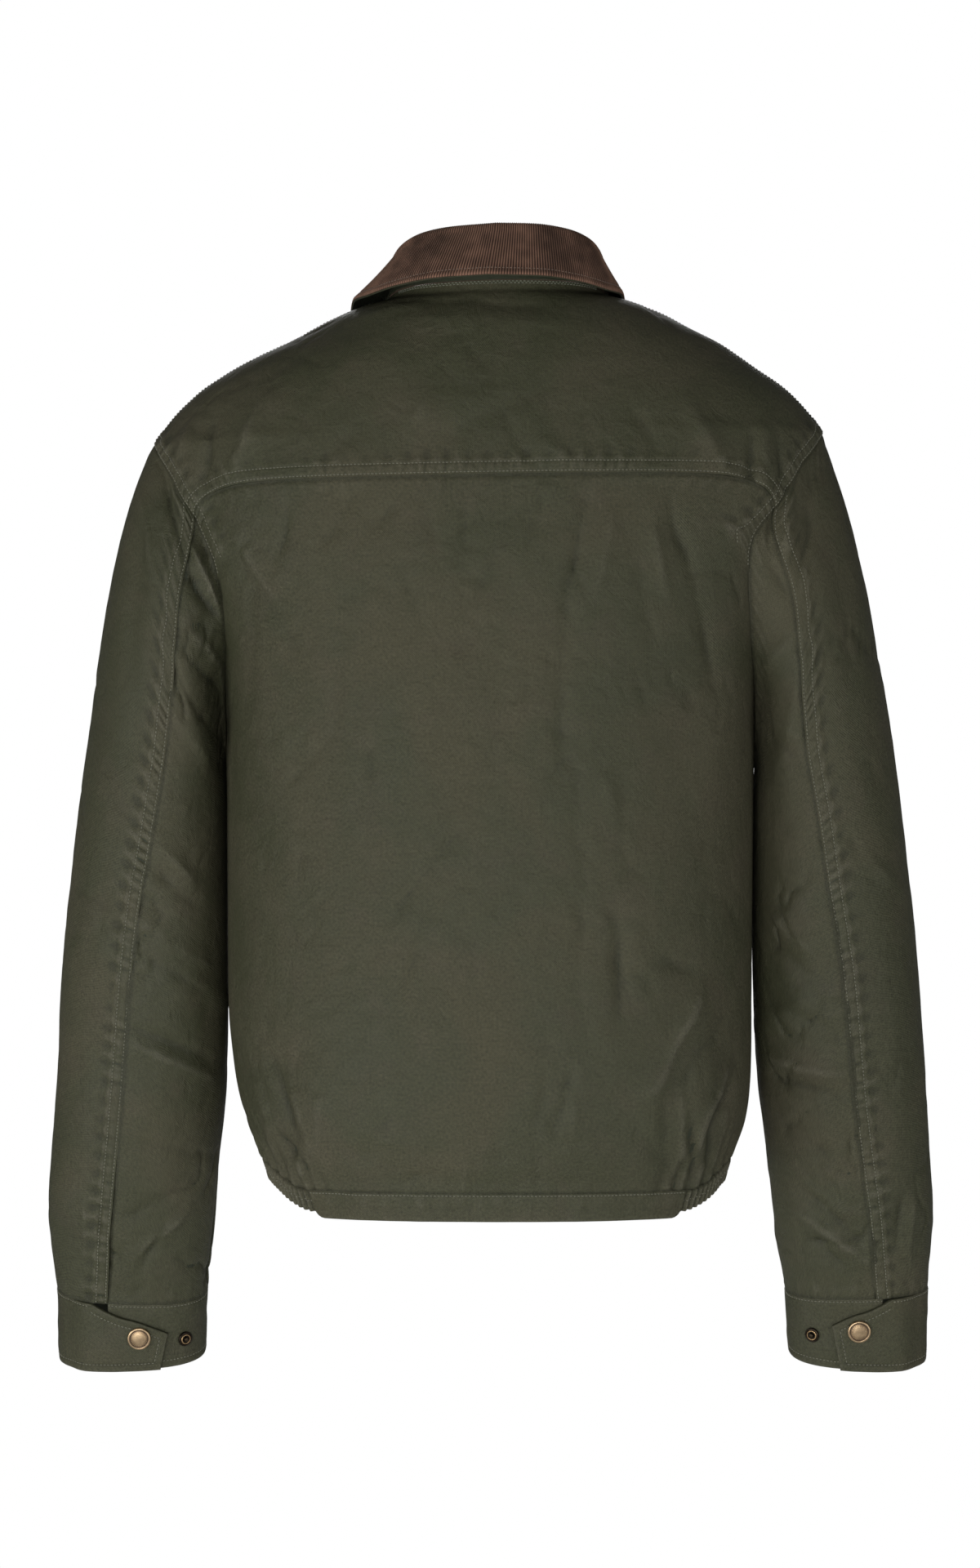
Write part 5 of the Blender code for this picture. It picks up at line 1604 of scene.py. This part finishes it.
def make_front(side, material):
    """A front, with a stitched facing along the zip."""
    levels = body_levels(0, 3, False, BY_SEAM, BY_SEAM, FRONT_STEP)
    points, out = body_half(levels, False, side, BY_SEAM, BY_SEAM, FRONT_STEP)
    low, along_low = border_places(points, "bottom")
    top, along_top = border_places(points, "top")
    centre, along_centre = border_places(points, "left")
    away, along = border_places(points, "right")
    mask = above(levels, 1.0)
    fade = ease(np.minimum(np.minimum(top, low), centre) / 14)
    folds = creased(points, "body_front") + crumple(points, 13 + side) * FRONT_CRUMPLE * fade
    folds = at_the_side(points, folds + side_gathers(points, low))
    rise = at_hem(low, along_low, 41 + side)
    rise = rise + seam_rise(top, along_top, -0.4, 0.6, (), 0, 44 + side)
    rise = rise + seam_rise(centre, along_centre, 0.5, ZIP_FACING, ZIP_ROWS, 0.16, 47 + side)
    rise = rise + at_armhole(away, along, 0.6, 50 + side, mask)
    outer = finish_panel("front_" + SIDES[side], points, out, folds, rise, SHELL, material)
    stitch_rows(outer, out, away, "right", ARMHOLE_ROWS, keep=np.flatnonzero(levels > 0.995))
    stitch_rows(outer, out, centre, "left", ZIP_ROWS)


def hem_seam_height(angle):
    """Height of the hem seam at an angle round the body."""
    turned = math.pi - np.abs(angle - math.pi)
    front = angle_at(FRONT_GAP, HEM_SEAM_BACK, False)
    before = (turned - front) / (SIDE_SEAM_ANGLE - front)
    behind = (math.pi - turned) / (math.pi - SIDE_SEAM_ANGLE)
    way = np.clip(np.where(turned < SIDE_SEAM_ANGLE, before, behind), 0, 1)
    return HEM_SEAM_BACK + (HEM_SEAM_SIDE - HEM_SEAM_BACK) * level_rise(way, 1.0)


def make_hem_piece(name, from_angle, to_angle, sign, elastic, material, seed):
    """A stretch of the hem band: folded cloth, smooth over the back and fronts, gathered on the elastic."""
    angle = np.linspace(from_angle, to_angle, 801)
    length = reached(section(angle, hem_seam_height(angle)))
    spaced = stations(length[-1], BY_EDGE, BY_EDGE, ELASTIC_STEP if elastic else STEP)[0]
    angle = np.interp(spaced, length, angle)
    drop = (ELASTIC_BAND if elastic else HEM_BAND) - 0.3
    down = stations(drop, BY_BAND, BY_FOOT, 1.3)[0][:, None]
    ends = np.minimum(spaced, length[-1] - spaced)
    corner = HEM_CORNER * round_off(ends / HEM_CORNER)
    down = down * (1 - (0 if elastic else 0.8) * corner / drop)
    height = hem_seam_height(angle) - down
    angle = np.broadcast_to(angle, height.shape)
    points, out = body(sign * angle, height), body_normal(sign * angle, height)
    along = np.broadcast_to(spaced, height.shape)
    top, foot = down + 0 * along, down[-1] - down + 0 * along
    lumps = 0.5 * noise(points, 30.0, seed) + 0.55 * noise(points * (1, 1, 0.35), 11.0, seed + 2)
    rise = -0.9 * round_off(foot / 2.4)
    rise = rise - 0.6 * (1 - ease(top / 1.4))
    if elastic:
        line = joined(along, 0 * along, down * 0.4 + 40 * seed)
        pitch = length[-1] / ELASTIC_WAVES
        phase = 2 * math.pi * along / pitch + 1.4 * noise(line, 22.0, seed)
        size = 1.25 + 0.45 * noise(line, 15.0, seed + 1)
        lumps = lumps * 0.5
        rise = rise + size * np.sin(phase) * ease(ends / 3) * ease(top / 3 + 0.25)
        rise = rise - 0.4 * bell((down - drop * 0.5) / 1.2)
    else:
        rise = rise + seam_rise(top, along, 0.3, 8.0, (BAND_ROW,), 0.35, seed)
    held, fuller, row = ("gathered", ELASTIC_FULLER, drop * 0.5) if elastic else ("folded", 1.0, BAND_ROW)
    # painted shadow along the band's seam at its top
    outer = finish_panel(name, points, out, lumps, rise, DOUBLE_SHELL, material,
                         under=top + 0.8)
    stitch_rows(outer, out, top, "bottom", (row,))


def make_hem(material):
    """The band in five stretches: the back, two gathered sides and two fronts."""
    make_hem_piece("hem_back", ELASTIC_TO, 2 * math.pi - ELASTIC_TO, 1, False, material, 61)
    front = float(angle_at(FRONT_GAP, HEM_SEAM_BACK, False))
    for sign, side in SIDES.items():
        make_hem_piece("hem_side_" + side, ELASTIC_FROM, ELASTIC_TO, sign, True, material, 63 + sign)
        make_hem_piece("hem_front_" + side, front, ELASTIC_FROM, sign, False, material, 67 + sign)


def sleeve_creases(points, out, side):
    """Creases of a sleeve: those seen from behind on its back, the others on its front."""
    behind = ease((out[..., 1] + 0.25) / 0.5)
    front = points * np.array((side, 1.0, 1.0)) + np.array((0, 0, 13.0 - 13.0 * side))
    back = creased(points, "sleeve_" + SIDES[side]) * behind
    return back + creased(front, "sleeve_front") * (1 - behind)


def make_sleeve(side, material):
    """Top and under panel of a sleeve. The top laps the under one, and the body laps both at the armhole."""
    word = SIDES[side]
    for which, part in enumerate(("top", "under")):
        points, out = sleeve_grid(side, which)
        seed = 80 + 5 * which + side
        start, along_start = border_places(points, "bottom")
        foot, along_foot = border_places(points, "top")
        seam_border = "right" if which == 0 else "left"
        seam, along_seam = border_places(points, seam_border)
        inner, _ = border_places(points, "left" if which == 0 else "right")
        fade = ease(np.minimum(start, foot) / 12)
        folds = sleeve_creases(points, out, side) * ease(np.minimum(start, foot) / 6)
        folds = folds + crumple(points, seed) * SLEEVE_CRUMPLE[which] * fade
        near = ease((SLEEVE_TOUCH - points[..., 0] * side) / 10)
        folds = touching(folds, near, points[..., 2], -330, -600)
        rise = seam_rise(start, along_start, -0.6, 0.6, (), 0.5, seed + 31)
        rise = rise + seam_rise(foot, along_foot, -0.3, 1.0, (), 0.6, seed + 33)
        rise = rise - BUTTED_DIP * bell(inner / BUTTED_HALF)
        if which == 0:
            rise = rise + seam_rise(seam, along_seam, 0.95, LAP, SLEEVE_ROWS, 1.5, seed + 35)
        else:
            rise = rise + seam_rise(seam, along_seam, -0.5, 0.6, (), 0.26, seed + 35)
        # under: distance to the borders that get a line of painted shadow, the armhole, the cuff, and on the
        # under panel the seam that the top panel laps
        under = np.minimum(start, foot)
        if which == 0:
            outer = points + out * (folds + rise)[..., None]
            stitch_rows(outer, out, seam, "right", SLEEVE_ROWS, keep=slice(3, None))
        else:
            under = np.minimum(under, seam)
        for border in ("bottom",) if which == 0 else ("bottom", "left"):
            points, out = tucked(points, out, border)
            folds, rise, under = (carried_on(values, border) for values in (folds, rise, under))
        finish_panel(f"sleeve_{part}_{word}", points, out, folds, rise, SHELL, material,
                     under=under)


def cuff_place(degrees, down, side):
    """Skin of the cuff by degrees round it and share down it. Past one turn it rides over its own start."""
    turn = np.radians(degrees)
    way = CUFF_TOP + (CUFF_FOOT - CUFF_TOP) * down
    points, out = sleeve(turn, way, side), sleeve_normal(turn, way, side)
    low, high = TAB_RISE
    lift = TAB_LIFT * ease((degrees - low) / (high - low))
    return points + out * lift[..., None], out


def make_cuff(side, material):
    """The cuff, its tab included: a folded band with stitching inside the tab's edges and along its foot."""
    word = SIDES[side]
    start, end = CUFF_START[side], TAB_END[side]
    fine = start + (end - start) * FINE
    length = reached(cuff_place(fine, 0 * fine + 0.5, side)[0])
    spaced = stations(length[-1], BY_CUFF, BY_CUFF, CUFF_STEP)[0]
    place = np.interp(spaced, length, FINE)
    tall = float(reached(cuff_place(np.array((start, start)), np.array((0.0, 1.0)), side)[0])[-1])
    share = (stations(tall, BY_CUFF, BY_CUFF, 1.6)[0] / tall)[:, None]
    degrees = start + (end - TAB_CUT * share - start) * place
    slant_from, slant_to = TAB_SLANT[side]
    top_share = slant_to * np.clip((degrees - slant_from) / (end - slant_from), 0, 1)
    points, out = cuff_place(degrees, top_share + (1 - top_share) * share, side)
    top, along_top = border_places(points, "bottom")
    foot, along_foot = border_places(points, "top")
    tab_end, _ = border_places(points, "right")
    first, _ = border_places(points, "left")
    edge = np.minimum(np.minimum(top, foot), np.minimum(tab_end, first))
    folds = 0.8 * noise(points, 24.0, 91 + side) + 0.35 * noise(points, 9.0, 93 + side)
    rise = -0.8 * round_off(edge / 1.6)
    rise = rise + seam_rise(foot, along_foot, 0.0, 5.0, (CUFF_ROW,), 0.12, 95 + side)
    on_tab = ease((degrees - slant_from) / 6)
    grooves = np.minimum(np.minimum(top, tab_end), foot)
    rise = rise - GROOVE * bell((grooves - CUFF_ROW) / GROOVE_HALF) * on_tab
    rise = rise + seam_rise(top, along_top, 0.0, 5.0, (BAND_ROW,), 0.2, 97 + side) * (1 - on_tab)
    outer = finish_panel("cuff_" + word, points, out, folds, rise, DOUBLE_SHELL, material)
    on_slant, within = degrees[0] > slant_from, CUFF_ROW - 0.2
    short_of_end = tab_end[0] > within
    beside_end = (top[:, -1] > within) & (foot[:, -1] > within)
    for away, border, row, keep in (
        (foot, "top", CUFF_ROW, short_of_end),
        (top, "bottom", BAND_ROW, degrees[0] < slant_from),
        (top, "bottom", CUFF_ROW, on_slant & short_of_end),
        (tab_end, "right", CUFF_ROW, beside_end),
    ):
        stitch_rows(outer, out, away, border, (row,), keep=np.flatnonzero(keep))


# ---- collar ----

def collar_columns():
    """Places round the neck, in degrees from the centre back, evenly pitched along the leaf's middle."""
    last = 180 - math.degrees(math.asin(FRONT_GAP / NECK_HALF))
    degrees = np.linspace(-last, last, 1201)
    top, tip = collar_lines(degrees, last)
    length = reached((top + tip) / 2)
    wales = int(length[-1] / WALE)
    return np.interp(np.linspace(0, length[-1], wales * WALE_POINTS + 1), length, degrees), last


def collar_lines(degrees, last):
    """Line of the collar's fold and of its outer edge."""
    side = np.where(degrees < 0, -1, 1)
    way = np.abs(degrees) / last
    top = joined(*(read(COLLAR, name, way) for name in ("fold_x", "fold_y", "fold_z")))
    tip = joined(*(read(COLLAR, name, way) for name in ("edge_x", "edge_y", "edge_z")))
    for line, lean in ((top, FOLD_LEAN), (tip, EDGE_LEAN)):
        line[:, 0] = side * line[:, 0] - lean
        line[:, 2] -= COLLAR_TIP * line[:, 0]
    return top, tip


def collar_grid(degrees, last):
    """Middle surface of the folded collar, by columns round the neck: stand, half round turn, leaf."""
    top, tip = collar_lines(degrees, last)
    round_place = np.abs(degrees)
    neck_x, neck_z = neck_place(round_place)
    back, front = angle_at(neck_x, neck_z, True), angle_at(neck_x, neck_z, False)
    angle = np.sign(degrees) * np.where(round_place <= 90, back, front)
    angle = np.where(degrees == 0, math.pi, angle)
    foot = body(angle, neck_z) + body_normal(angle, neck_z) * COLLAR_LIFT
    outward = unit((tip + foot - 2 * top) * np.array((1, 1, 0)))
    turned = np.radians(np.linspace(0, 180, FOLD_ROWS))
    arc = [
        top - outward * COLLAR_TURN * math.cos(turn) + joined(0, 0, COLLAR_TURN * math.sin(turn))
        for turn in turned
    ]
    stand = [foot + (arc[0] - foot) * share for share in np.linspace(0, 1, STAND_ROWS + 1)[:-1]]
    shares = np.concatenate([np.linspace(0, 0.8, 13)[1:], (0.84, 0.88, 0.91, 0.94, 0.96, 0.98, 0.992, 1.0)])
    leaf = [arc[-1] + (tip - arc[-1]) * share for share in shares]
    return np.stack([*stand, *arc, *leaf])


def outward_of(grid):
    """Outward directions of the folded collar's middle surface: the leaf's face the back at its middle."""
    out = unit(np.cross(np.gradient(grid, axis=0), np.gradient(grid, axis=1)))
    return out if out[-4, grid.shape[1] // 2, 1] > 0 else -out


def make_collar(corduroy, waxed):
    """Folded collar: ribs of pile raised from its outer side, one for each wale, and a plain under side."""
    degrees, last = collar_columns()
    grid = collar_grid(degrees, last)
    out = outward_of(grid)
    edge, _ = border_places(grid, "top")
    ends = np.minimum(border_places(grid, "left")[0], border_places(grid, "right")[0])
    number = np.arange(grid.shape[1])
    wale = 0.5 - 0.5 * np.cos(2 * math.pi * number / WALE_POINTS)
    grid = grid + out * (0.7 * noise(grid, 42.0, 111) * ease(edge / 4))[..., None]
    stitched = bell(edge - COLLAR_ROW) + bell(ends - COLLAR_ROW) * (edge > COLLAR_ROW)
    stitched = np.clip(stitched, 0, 1)
    rim = np.minimum(edge, ends)
    pile = WALE_HEIGHT * wale[None] * (1 - 0.55 * stitched) * (0.35 + 0.65 * ease(rim / 1.2))
    rise = SHELL + COLLAR_SKIN + pile - GROOVE * stitched - 0.5 * (1 - ease(rim / 1.4))
    outer = grid + out * rise[..., None]
    fold_top = edge[STAND_ROWS + FOLD_ROWS // 2]
    worn = np.clip(1.5 * bell(rim / 1.6), 0, 1) + 0.35 * bell((edge - fold_top) / 3.0)
    crushed = 0.16 * noise(grid, 18.0, 112) + 0.14 * noise(grid, 6.0, 113)
    # the wale term paints shade at each wale's foot; worn lightens the rubbed rim and fold, crushed makes the
    # pile uneven
    wear_and_painted_light = np.clip(0.62 * wale[None] + 0.18 * worn + crushed, 0, 1)
    made = wale_shell("collar_top_pile", outer, grid + out * COLLAR_SKIN, wear_and_painted_light, corduroy)
    coarse, direction = grid[:, ::WALE_POINTS], out[:, ::WALE_POINTS]
    declare(made, "collar_top", coarse)
    crest = slice(WALE_POINTS // 2, None, WALE_POINTS)
    stitch_rows(outer[:, crest], out[:, crest], edge[:, crest], "top", (COLLAR_ROW,), "collar_thread",
                lift=0.05)
    near, far = (coarse - direction * depth for depth in (COLLAR_SKIN, SHELL + COLLAR_SKIN))
    under = shell("collar_under_cloth", near, far, 0 * coarse[..., 0], waxed)
    declare(under, "collar_under", coarse)


def wale_shell(name, outer, inner, wear_and_painted_light, material):
    """A closed shell whose inner skin takes one grid line for each wale."""
    rows, columns = outer.shape[:2]
    flat = joined(reached(outer), reached(outer.swapaxes(0, 1)).T)
    place = np.arange(rows * columns).reshape(rows, columns)
    kept = np.arange(0, columns, WALE_POINTS)
    within = rows * columns + np.arange(rows * len(kept)).reshape(rows, -1)
    faces = squares(place) + squares(within, True)
    for index, column in enumerate(kept[:-1]):
        line = place[:, column : column + WALE_POINTS + 1]
        low, high = line[0].tolist(), line[-1].tolist()
        faces.append([int(within[0, index]), int(within[0, index + 1])] + low[::-1])
        faces.append([int(within[-1, index + 1]), int(within[-1, index])] + high)
    ends = ((place[:, 0], within[:, 0], 1), (place[:, -1], within[:, -1], -1))
    for outer_line, inner_line, order in ends:
        quads = np.stack([outer_line[:-1], outer_line[1:], inner_line[1:], inner_line[:-1]], -1)[:, ::order]
        faces += quads.tolist()
    return closed(name, outer, inner, np.ix_(np.arange(rows), kept), flat, wear_and_painted_light, faces, material, False)


# ---- zip ----

def front_line(x, height):
    """Points of the closed front beside its middle, and their outward direction."""
    points = plain_body(np.sign(x) * angle_at(np.abs(x), height, False), height)
    near = np.full(np.shape(height), 0.05)
    out = normal_of(plain_body, near, height, 1e-3, 1.0) * np.array((0, 1.0, 1.0))
    return points, unit(out)


def make_tapes(material):
    """The two tapes behind the teeth: strips of the front's surface moved inward."""
    for side, word in SIDES.items():
        ends = (TAPE_FROM, TAPE_HALF) if side > 0 else (-TAPE_HALF, -TAPE_FROM)
        height = np.linspace(ZIP_FOOT, ZIP_TOP, 191)[:, None]
        x = np.linspace(*ends, 9)[None]
        height, x = np.broadcast_arrays(height, x)
        points, out = front_line(x, height)
        wave = 0.12 * noise(points, 20.0, 120 + side)[..., None]
        near, far = (points - out * (depth + wave) for depth in TAPE_DEPTHS)
        made = shell(f"zip_tape_{word}_cloth", near, far, 0 * x, material)
        declare(made, "zip_tape_" + word, points)


def tooth_blocks(centres, axes, size):
    """Small blocks with their top edges drawn in, as points and faces: one block for each centre."""
    wide, tall, deep = (part / 2 for part in size)
    levels = ((wide, tall, -deep), (wide, tall, deep * 0.4), (wide * 0.8, tall * 0.55, deep))
    round_it = ((-1, -1), (1, -1), (1, 1), (-1, 1))
    corners = np.array([(x * right, y * up, z) for x, y, z in levels for right, up in round_it])
    points = centres[:, None] + np.einsum("kc,ncd->nkd", corners, axes)
    one = [(3, 2, 1, 0), (8, 9, 10, 11)]
    for low in (0, 4):
        for index in range(4):
            after = (index + 1) % 4
            one.append((low + index, low + after, low + 4 + after, low + 4 + index))
    base = (np.arange(len(points)) * len(corners))[:, None, None]
    return points.reshape(-1, 3), (base + np.array(one)).reshape(-1, 4).tolist()


def make_teeth(material):
    """The closed chain: teeth of both tapes in turn, each reaching a little over the middle."""
    height = np.arange(ZIP_FOOT + 1.5, ZIP_TOP - 0.6, TOOTH_PITCH / 2)
    side = np.where(np.arange(len(height)) % 2 == 0, 1, -1)
    aside = 0.01
    middle, out = front_line(0 * height + aside, height)
    middle[:, 0] = middle[:, 0] - aside
    across = joined(0 * height + 1, 0, 0)
    up = np.cross(out, across)
    centres = middle + across * (side * TOOTH_ASIDE)[:, None] - out * TOOTH_DEPTH
    points, faces = tooth_blocks(centres, np.stack([across, up, out], axis=1), TOOTH)
    wear_and_painted_light = np.tile(np.array([0.1] * 4 + [0.6] * 4 + [1.0] * 4), len(centres))
    mesh = new_mesh("zip_teeth", points, faces, None, {"wear_and_painted_light": wear_and_painted_light})
    stand_in(add_object("zip_teeth", mesh, material, 30.0), "zip_chain")


def make_small_metal(material):
    """Slider, box and pull tab: their own solids, with worn round edges."""
    for name in ("zip_slider", "zip_box", "zip_pull"):
        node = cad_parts[name]
        node.data.materials.clear()
        node.data.materials.append(material)
        round_edges = node.modifiers.new("round_edges", "BEVEL")
        round_edges.width = METAL_EDGE
        round_edges.segments = 2
        round_edges.limit_method = "ANGLE"


# ---- snaps ----

def lathe(profile, corners):
    """Points and faces of a solid of revolution about Z, from a profile of radius and height."""
    turns = np.linspace(0, 2 * math.pi, corners, endpoint=False)
    radius, height = profile[:, :1], profile[:, 1:2]
    rings = joined(radius * np.cos(turns), radius * np.sin(turns), height)
    place = np.arange(len(profile) * corners).reshape(len(profile), corners)
    faces = squares(np.concatenate([place, place[:, :1]], axis=1))
    faces.append(place[0, ::-1].tolist())
    faces.append(place[-1].tolist())
    return rings.reshape(-1, 3), faces


def frame_at(out):
    """Axes of a small round piece: across, up the cloth and outward."""
    out = unit(out)
    across = unit(np.cross((0, 0, 1.0), out))
    return np.array((across, np.cross(out, across), out))


def cap_strokes():
    """A ring of short raised strokes on the cap, as points and faces."""
    radius, height = STROKE_PLACE
    turns = np.linspace(0, 2 * math.pi, CAP_STROKES, endpoint=False)
    radial = joined(np.cos(turns), np.sin(turns), 0)
    round_way = joined(-np.sin(turns), np.cos(turns), 0)
    outward = joined(0 * turns, 0, 1)
    axes = np.stack([radial, round_way, outward], axis=1)
    return tooth_blocks(radial * radius + outward * height, axes, STROKE)


def place_snap(part, shape, side, degrees, down, points, faces, wear_and_painted_light, material, sharp):
    """A part of a snap on the cuff, its axis along the cloth's outward direction."""
    point, out = cuff_place(np.array(degrees), np.array(down), side)
    name = f"snap_{part}_{shape}_{SIDES[side]}"
    placed = point + out * SNAP_LIFT + points @ frame_at(out)
    mesh = new_mesh(name, placed, faces, None, {"wear_and_painted_light": wear_and_painted_light})
    stand_in(add_object(name, mesh, material, sharp), f"snap_{part}_{SIDES[side]}")


def make_snaps(side, brass, dark):
    """The cap on the cuff's tab and the open stud beside it."""
    points, faces = lathe(CAP, CAP_CORNERS)
    more, stroke_faces = cap_strokes()
    faces += [[corner + len(points) for corner in face] for face in stroke_faces]
    wear_and_painted_light = np.concatenate([np.repeat(CAP[:, 2], CAP_CORNERS), np.ones(len(more))])
    points = np.concatenate([points, more])
    place_snap("cap", "disc", side, CAP_TURN[side], CAP_DOWN[side], points, faces, wear_and_painted_light, brass, 40.0)
    points, faces = lathe(STUD, STUD_CORNERS)
    wear_and_painted_light = np.repeat(STUD[:, 2], STUD_CORNERS)
    place_snap("stud", "post", side, STUD_TURN[side], STUD_DOWN[side], points, faces, wear_and_painted_light, dark, 50.0)


# ---- studio ----

def make_stage():
    """White floor well below the jacket: pure white to the camera from above, and nothing from below."""
    ends = np.array([-FLOOR_HALF, FLOOR_HALF])
    points = joined(ends[None, :], ends[:, None], FLOOR) / MM
    mesh = new_mesh("floor", points.reshape(-1, 3), [(0, 1, 3, 2)])
    material = bpy.data.materials.new("floor")
    material.use_nodes = True
    tree = material.node_tree
    shader = tree.nodes["Principled BSDF"]
    shader.inputs["Base Color"].default_value = (0.85, 0.85, 0.85, 1)
    shader.inputs["Roughness"].default_value = 0.9
    shader.inputs["Specular IOR Level"].default_value = 0.0
    shader.inputs["Emission Color"].default_value = (1, 1, 1, 1)
    seen = tree.nodes.new("ShaderNodeLightPath")
    tree.links.new(seen.outputs["Is Camera Ray"], shader.inputs["Emission Strength"])
    facing = tree.nodes.new("ShaderNodeNewGeometry")
    clear = tree.nodes.new("ShaderNodeBsdfTransparent")
    chosen = tree.nodes.new("ShaderNodeMixShader")
    tree.links.new(facing.outputs["Backfacing"], chosen.inputs[0])
    tree.links.new(shader.outputs[0], chosen.inputs[1])
    tree.links.new(clear.outputs[0], chosen.inputs[2])
    tree.links.new(chosen.outputs[0], tree.nodes["Material Output"].inputs["Surface"])
    mesh.materials.append(material)
    floor = bpy.data.objects.new("floor", mesh)
    bpy.context.scene.collection.objects.link(floor)


def add_light(name, place, size, power):
    """A soft rectangular light that looks at the jacket."""
    lamp = bpy.data.lights.new(name, "AREA")
    lamp.shape = "RECTANGLE"
    lamp.size, lamp.size_y = size
    lamp.energy = power
    made = bpy.data.objects.new(name, lamp)
    made.location = place
    way = np.array(LIT_PLACE) - np.array(place)
    yaw = math.atan2(-way[0], way[1])
    pitch = math.atan2(way[2], math.hypot(way[0], way[1]))
    made.rotation_euler = (math.pi / 2 + pitch, 0, yaw)
    bpy.context.scene.collection.objects.link(made)


def make_studio():
    """Floor, lamps, even light all round and the camera."""
    make_stage()
    for lamp in LAMPS:
        add_light(*lamp)
    world = bpy.data.worlds.new("studio")
    world.use_nodes = True
    bpy.context.scene.world = world
    tree = world.node_tree
    seen = tree.nodes.new("ShaderNodeLightPath")
    shade = tree.nodes["Background"]
    shade.inputs["Color"].default_value = (1, 1, 1, 1)
    brightness = math_node(tree, "MULTIPLY_ADD", seen.outputs["Is Camera Ray"], 1 - WORLD_LIGHT, WORLD_LIGHT)
    tree.links.new(brightness, shade.inputs["Strength"])
    camera = bpy.data.cameras.new("camera")
    camera.sensor_width = CAMERA_SENSOR
    camera.lens = CAMERA_LENS
    holder = bpy.data.objects.new("camera", camera)
    holder.location = CAMERA_PLACE
    holder.rotation_euler = (math.pi / 2, 0, math.pi)
    bpy.context.scene.collection.objects.link(holder)
    bpy.context.scene.camera = holder
    bpy.context.scene.view_settings.view_transform = "Standard"


def main():
    """Builds every piece, then the studio."""
    twill, patina = twill_group(), patina_group()
    waxed = waxed_material(twill, patina)
    make_back_body(waxed)
    make_back_yoke(waxed)
    for side in SIDES:
        make_front(side, waxed)
    make_hem(waxed)
    brass = metal_material("snap_brass", *CAP_BRASS, patina)
    dark = metal_material("snap_dark", *STUD_BRASS, patina)
    zip_brass = metal_material("zip_brass", *ZIP_BRASS, patina)
    for side in SIDES:
        make_sleeve(side, waxed)
        make_cuff(side, waxed)
        make_snaps(side, brass, dark)
    make_collar(corduroy_material(patina), waxed)
    make_tapes(tape_material(patina))
    make_teeth(zip_brass)
    make_small_metal(zip_brass)
    for kind, (name, colour) in THREADS.items():
        thread_piece(name, kind, thread_material(kind, colour, patina))
    make_studio()


main()
